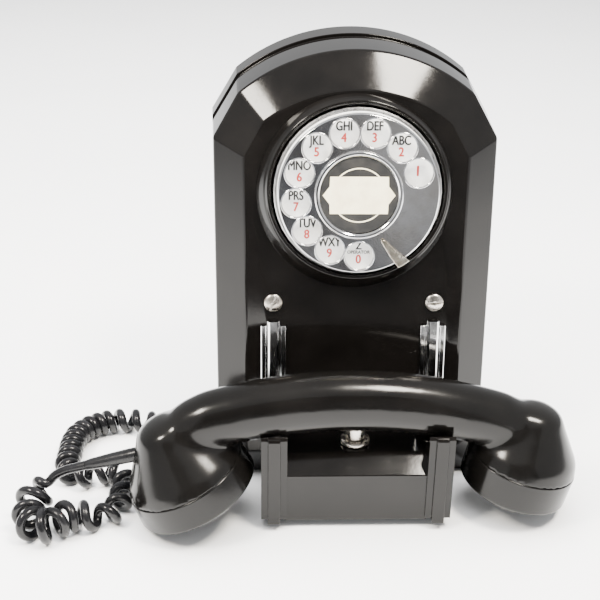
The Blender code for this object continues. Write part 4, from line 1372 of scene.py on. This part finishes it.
class TELEPHONE_OT_stage(bpy.types.Operator):
    """Make the floor, the lights, the surroundings and the camera"""

    bl_idname = "telephone.stage"
    bl_label = "Stage"

    def execute(self, context):
        settings = context.scene.telephone_stage
        self.make_camera(context.scene)
        self.make_surroundings(context.scene)
        overhead = area_light("overhead", (-0.15, 0.10, 1.2), (0, 0, 0), (1.6, 1.6), settings.key_power)
        overhead.visible_glossy = False
        lamps = (
            ("left_lamp", (-0.55, -0.35, 0.75), (-0.05, -0.03, 0.05), 0.18, 0.6),
            ("right_lamp", (0.30, -0.30, 0.90), (0.0, -0.03, 0.05), 0.22, 1.0),
        )
        for name, place, target, size, share in lamps:
            area_light(name, place, target, (size, size), share * settings.lamp_power, WARM)
        self.make_glow_panels()
        self.make_floor(settings)
        return {"FINISHED"}

    def make_glow_panels(self):
        """Two cards in front that glow cloudy grey, which only the gloss of the telephone shows: painted
        reflections on it, not lamps.
        """
        grey = Finish("glowing_reflection_card")
        # The grey clouds are emitted glow, not a surface colour, and show only as painted reflections in the
        # telephone's gloss.
        clouds = [(0.40, (0.10, 0.10, 0.11)), (0.62, (0.62, 0.61, 0.60))]
        grey.colour(grey.noise(7, 4), clouds, "Emission Color")
        grey.constant(Base_Color=(0.01, 0.01, 0.01, 1), Emission_Strength=0.7)
        grey.constant(Roughness=1.0, Specular_IOR_Level=0.0)
        FINISHES["glowing_reflection_card"] = grey.material
        standing = ("standing_glow_panel", (-0.45, -0.80, -0.01), (0.45, -0.79, 0.70))
        # The card lying on the floor stands in for the floor in the reflections, which paints a dimmer reflection
        # on the lower front of the housing.
        lying = ("lying_glow_panel", (-0.45, -0.79, 0.001), (0.45, -0.37, 0.002))
        for name, low, high in (standing, lying):
            card = as_object(name, block(low, high), "glowing_reflection_card")
            card.visible_camera = False
            card.visible_diffuse = False
            card.visible_shadow = False

    def make_floor(self, settings):
        finish = Finish("pale_floor")
        colour = tuple(settings.floor_colour)
        dull = tuple(0.97 * c for c in colour)
        finish.colour(finish.noise(5, 3), [(0.4, colour), (0.7, dull)])
        finish.constant(Roughness=0.55)
        FINISHES["floor"] = finish.material
        floor = as_object("pale_floor", loft([circle(4, -0.02, 64), circle(4, 0, 64)]), "floor")

    def make_camera(self, scene):
        """Looks down at the front from a little to the left."""
        yaw, pitch, roll = (math.radians(a) for a in (-2.11, 25.59, 0.82))
        ahead = Vector((-math.sin(yaw) * math.cos(pitch), math.cos(yaw) * math.cos(pitch), -math.sin(pitch)))
        level = Vector((math.cos(yaw), math.sin(yaw), 0))
        over = level.cross(ahead)
        right = math.cos(roll) * level + math.sin(roll) * over
        up = -math.sin(roll) * level + math.cos(roll) * over
        data = bpy.data.cameras.new("camera")
        data.lens = 67.85
        data.sensor_width = 36
        data.clip_start = 0.02
        camera = bpy.data.objects.new("camera", data)
        turn = Matrix((right, up, -ahead)).transposed().to_4x4()
        camera.matrix_world = Matrix.Translation((-0.0451, -0.5045, 0.3383)) @ turn
        scene.collection.objects.link(camera)
        scene.camera = camera

    def make_surroundings(self, scene):
        """A pale room, equally bright all round."""
        world = bpy.data.worlds.new("pale_room")
        world.use_nodes = True
        scene.world = world
        tree = world.node_tree
        tree.nodes.clear()
        out = tree.nodes.new("ShaderNodeOutputWorld")
        glow = tree.nodes.new("ShaderNodeBackground")
        glow.inputs["Color"].default_value = (0.98, 0.99, 1.0, 1)
        glow.inputs["Strength"].default_value = scene.telephone_stage.room_glow
        tree.links.new(glow.outputs["Background"], out.inputs["Surface"])


# --- Add-on ------------------------------------------------------------------------------------

OPERATORS = (
    TELEPHONE_OT_finishes,
    TELEPHONE_OT_stage,
    TELEPHONE_OT_cord,
    TELEPHONE_OT_housing,
    TELEPHONE_OT_cradle,
    TELEPHONE_OT_dial,
    TELEPHONE_OT_handset,
)
SETTINGS = {
    "telephone_finish": FinishSettings,
    "telephone_stage": StageSettings,
    "telephone_cord": CordSizes,
    "telephone_housing": HousingSizes,
    "telephone_dial": DialSizes,
    "telephone_handset": HandsetSizes,
}


class TELEPHONE_PT_pieces(bpy.types.Panel):
    """The telephone's pieces and their sizes"""

    bl_idname = "TELEPHONE_PT_pieces"
    bl_label = "Wall telephone"
    bl_space_type = "VIEW_3D"
    bl_region_type = "UI"
    bl_category = "Telephone"

    def draw(self, context):
        for operator in OPERATORS:
            self.layout.operator(operator.bl_idname)
        for name, group in SETTINGS.items():
            box = self.layout.box()
            settings = getattr(context.scene, name)
            for key in group.__annotations__:
                box.prop(settings, key)


def register():
    for name, group in SETTINGS.items():
        bpy.utils.register_class(group)
        setattr(bpy.types.Scene, name, PointerProperty(type=group))
    for kind in (*OPERATORS, TELEPHONE_PT_pieces):
        bpy.utils.register_class(kind)


def unregister():
    for kind in (TELEPHONE_PT_pieces, *reversed(OPERATORS)):
        bpy.utils.unregister_class(kind)
    for name, group in SETTINGS.items():
        delattr(bpy.types.Scene, name)
        bpy.utils.unregister_class(group)


def main():
    register()
    for operator in OPERATORS:
        group, name = operator.bl_idname.split(".")
        getattr(getattr(bpy.ops, group), name)()


if __name__ == "__main__":
    main()
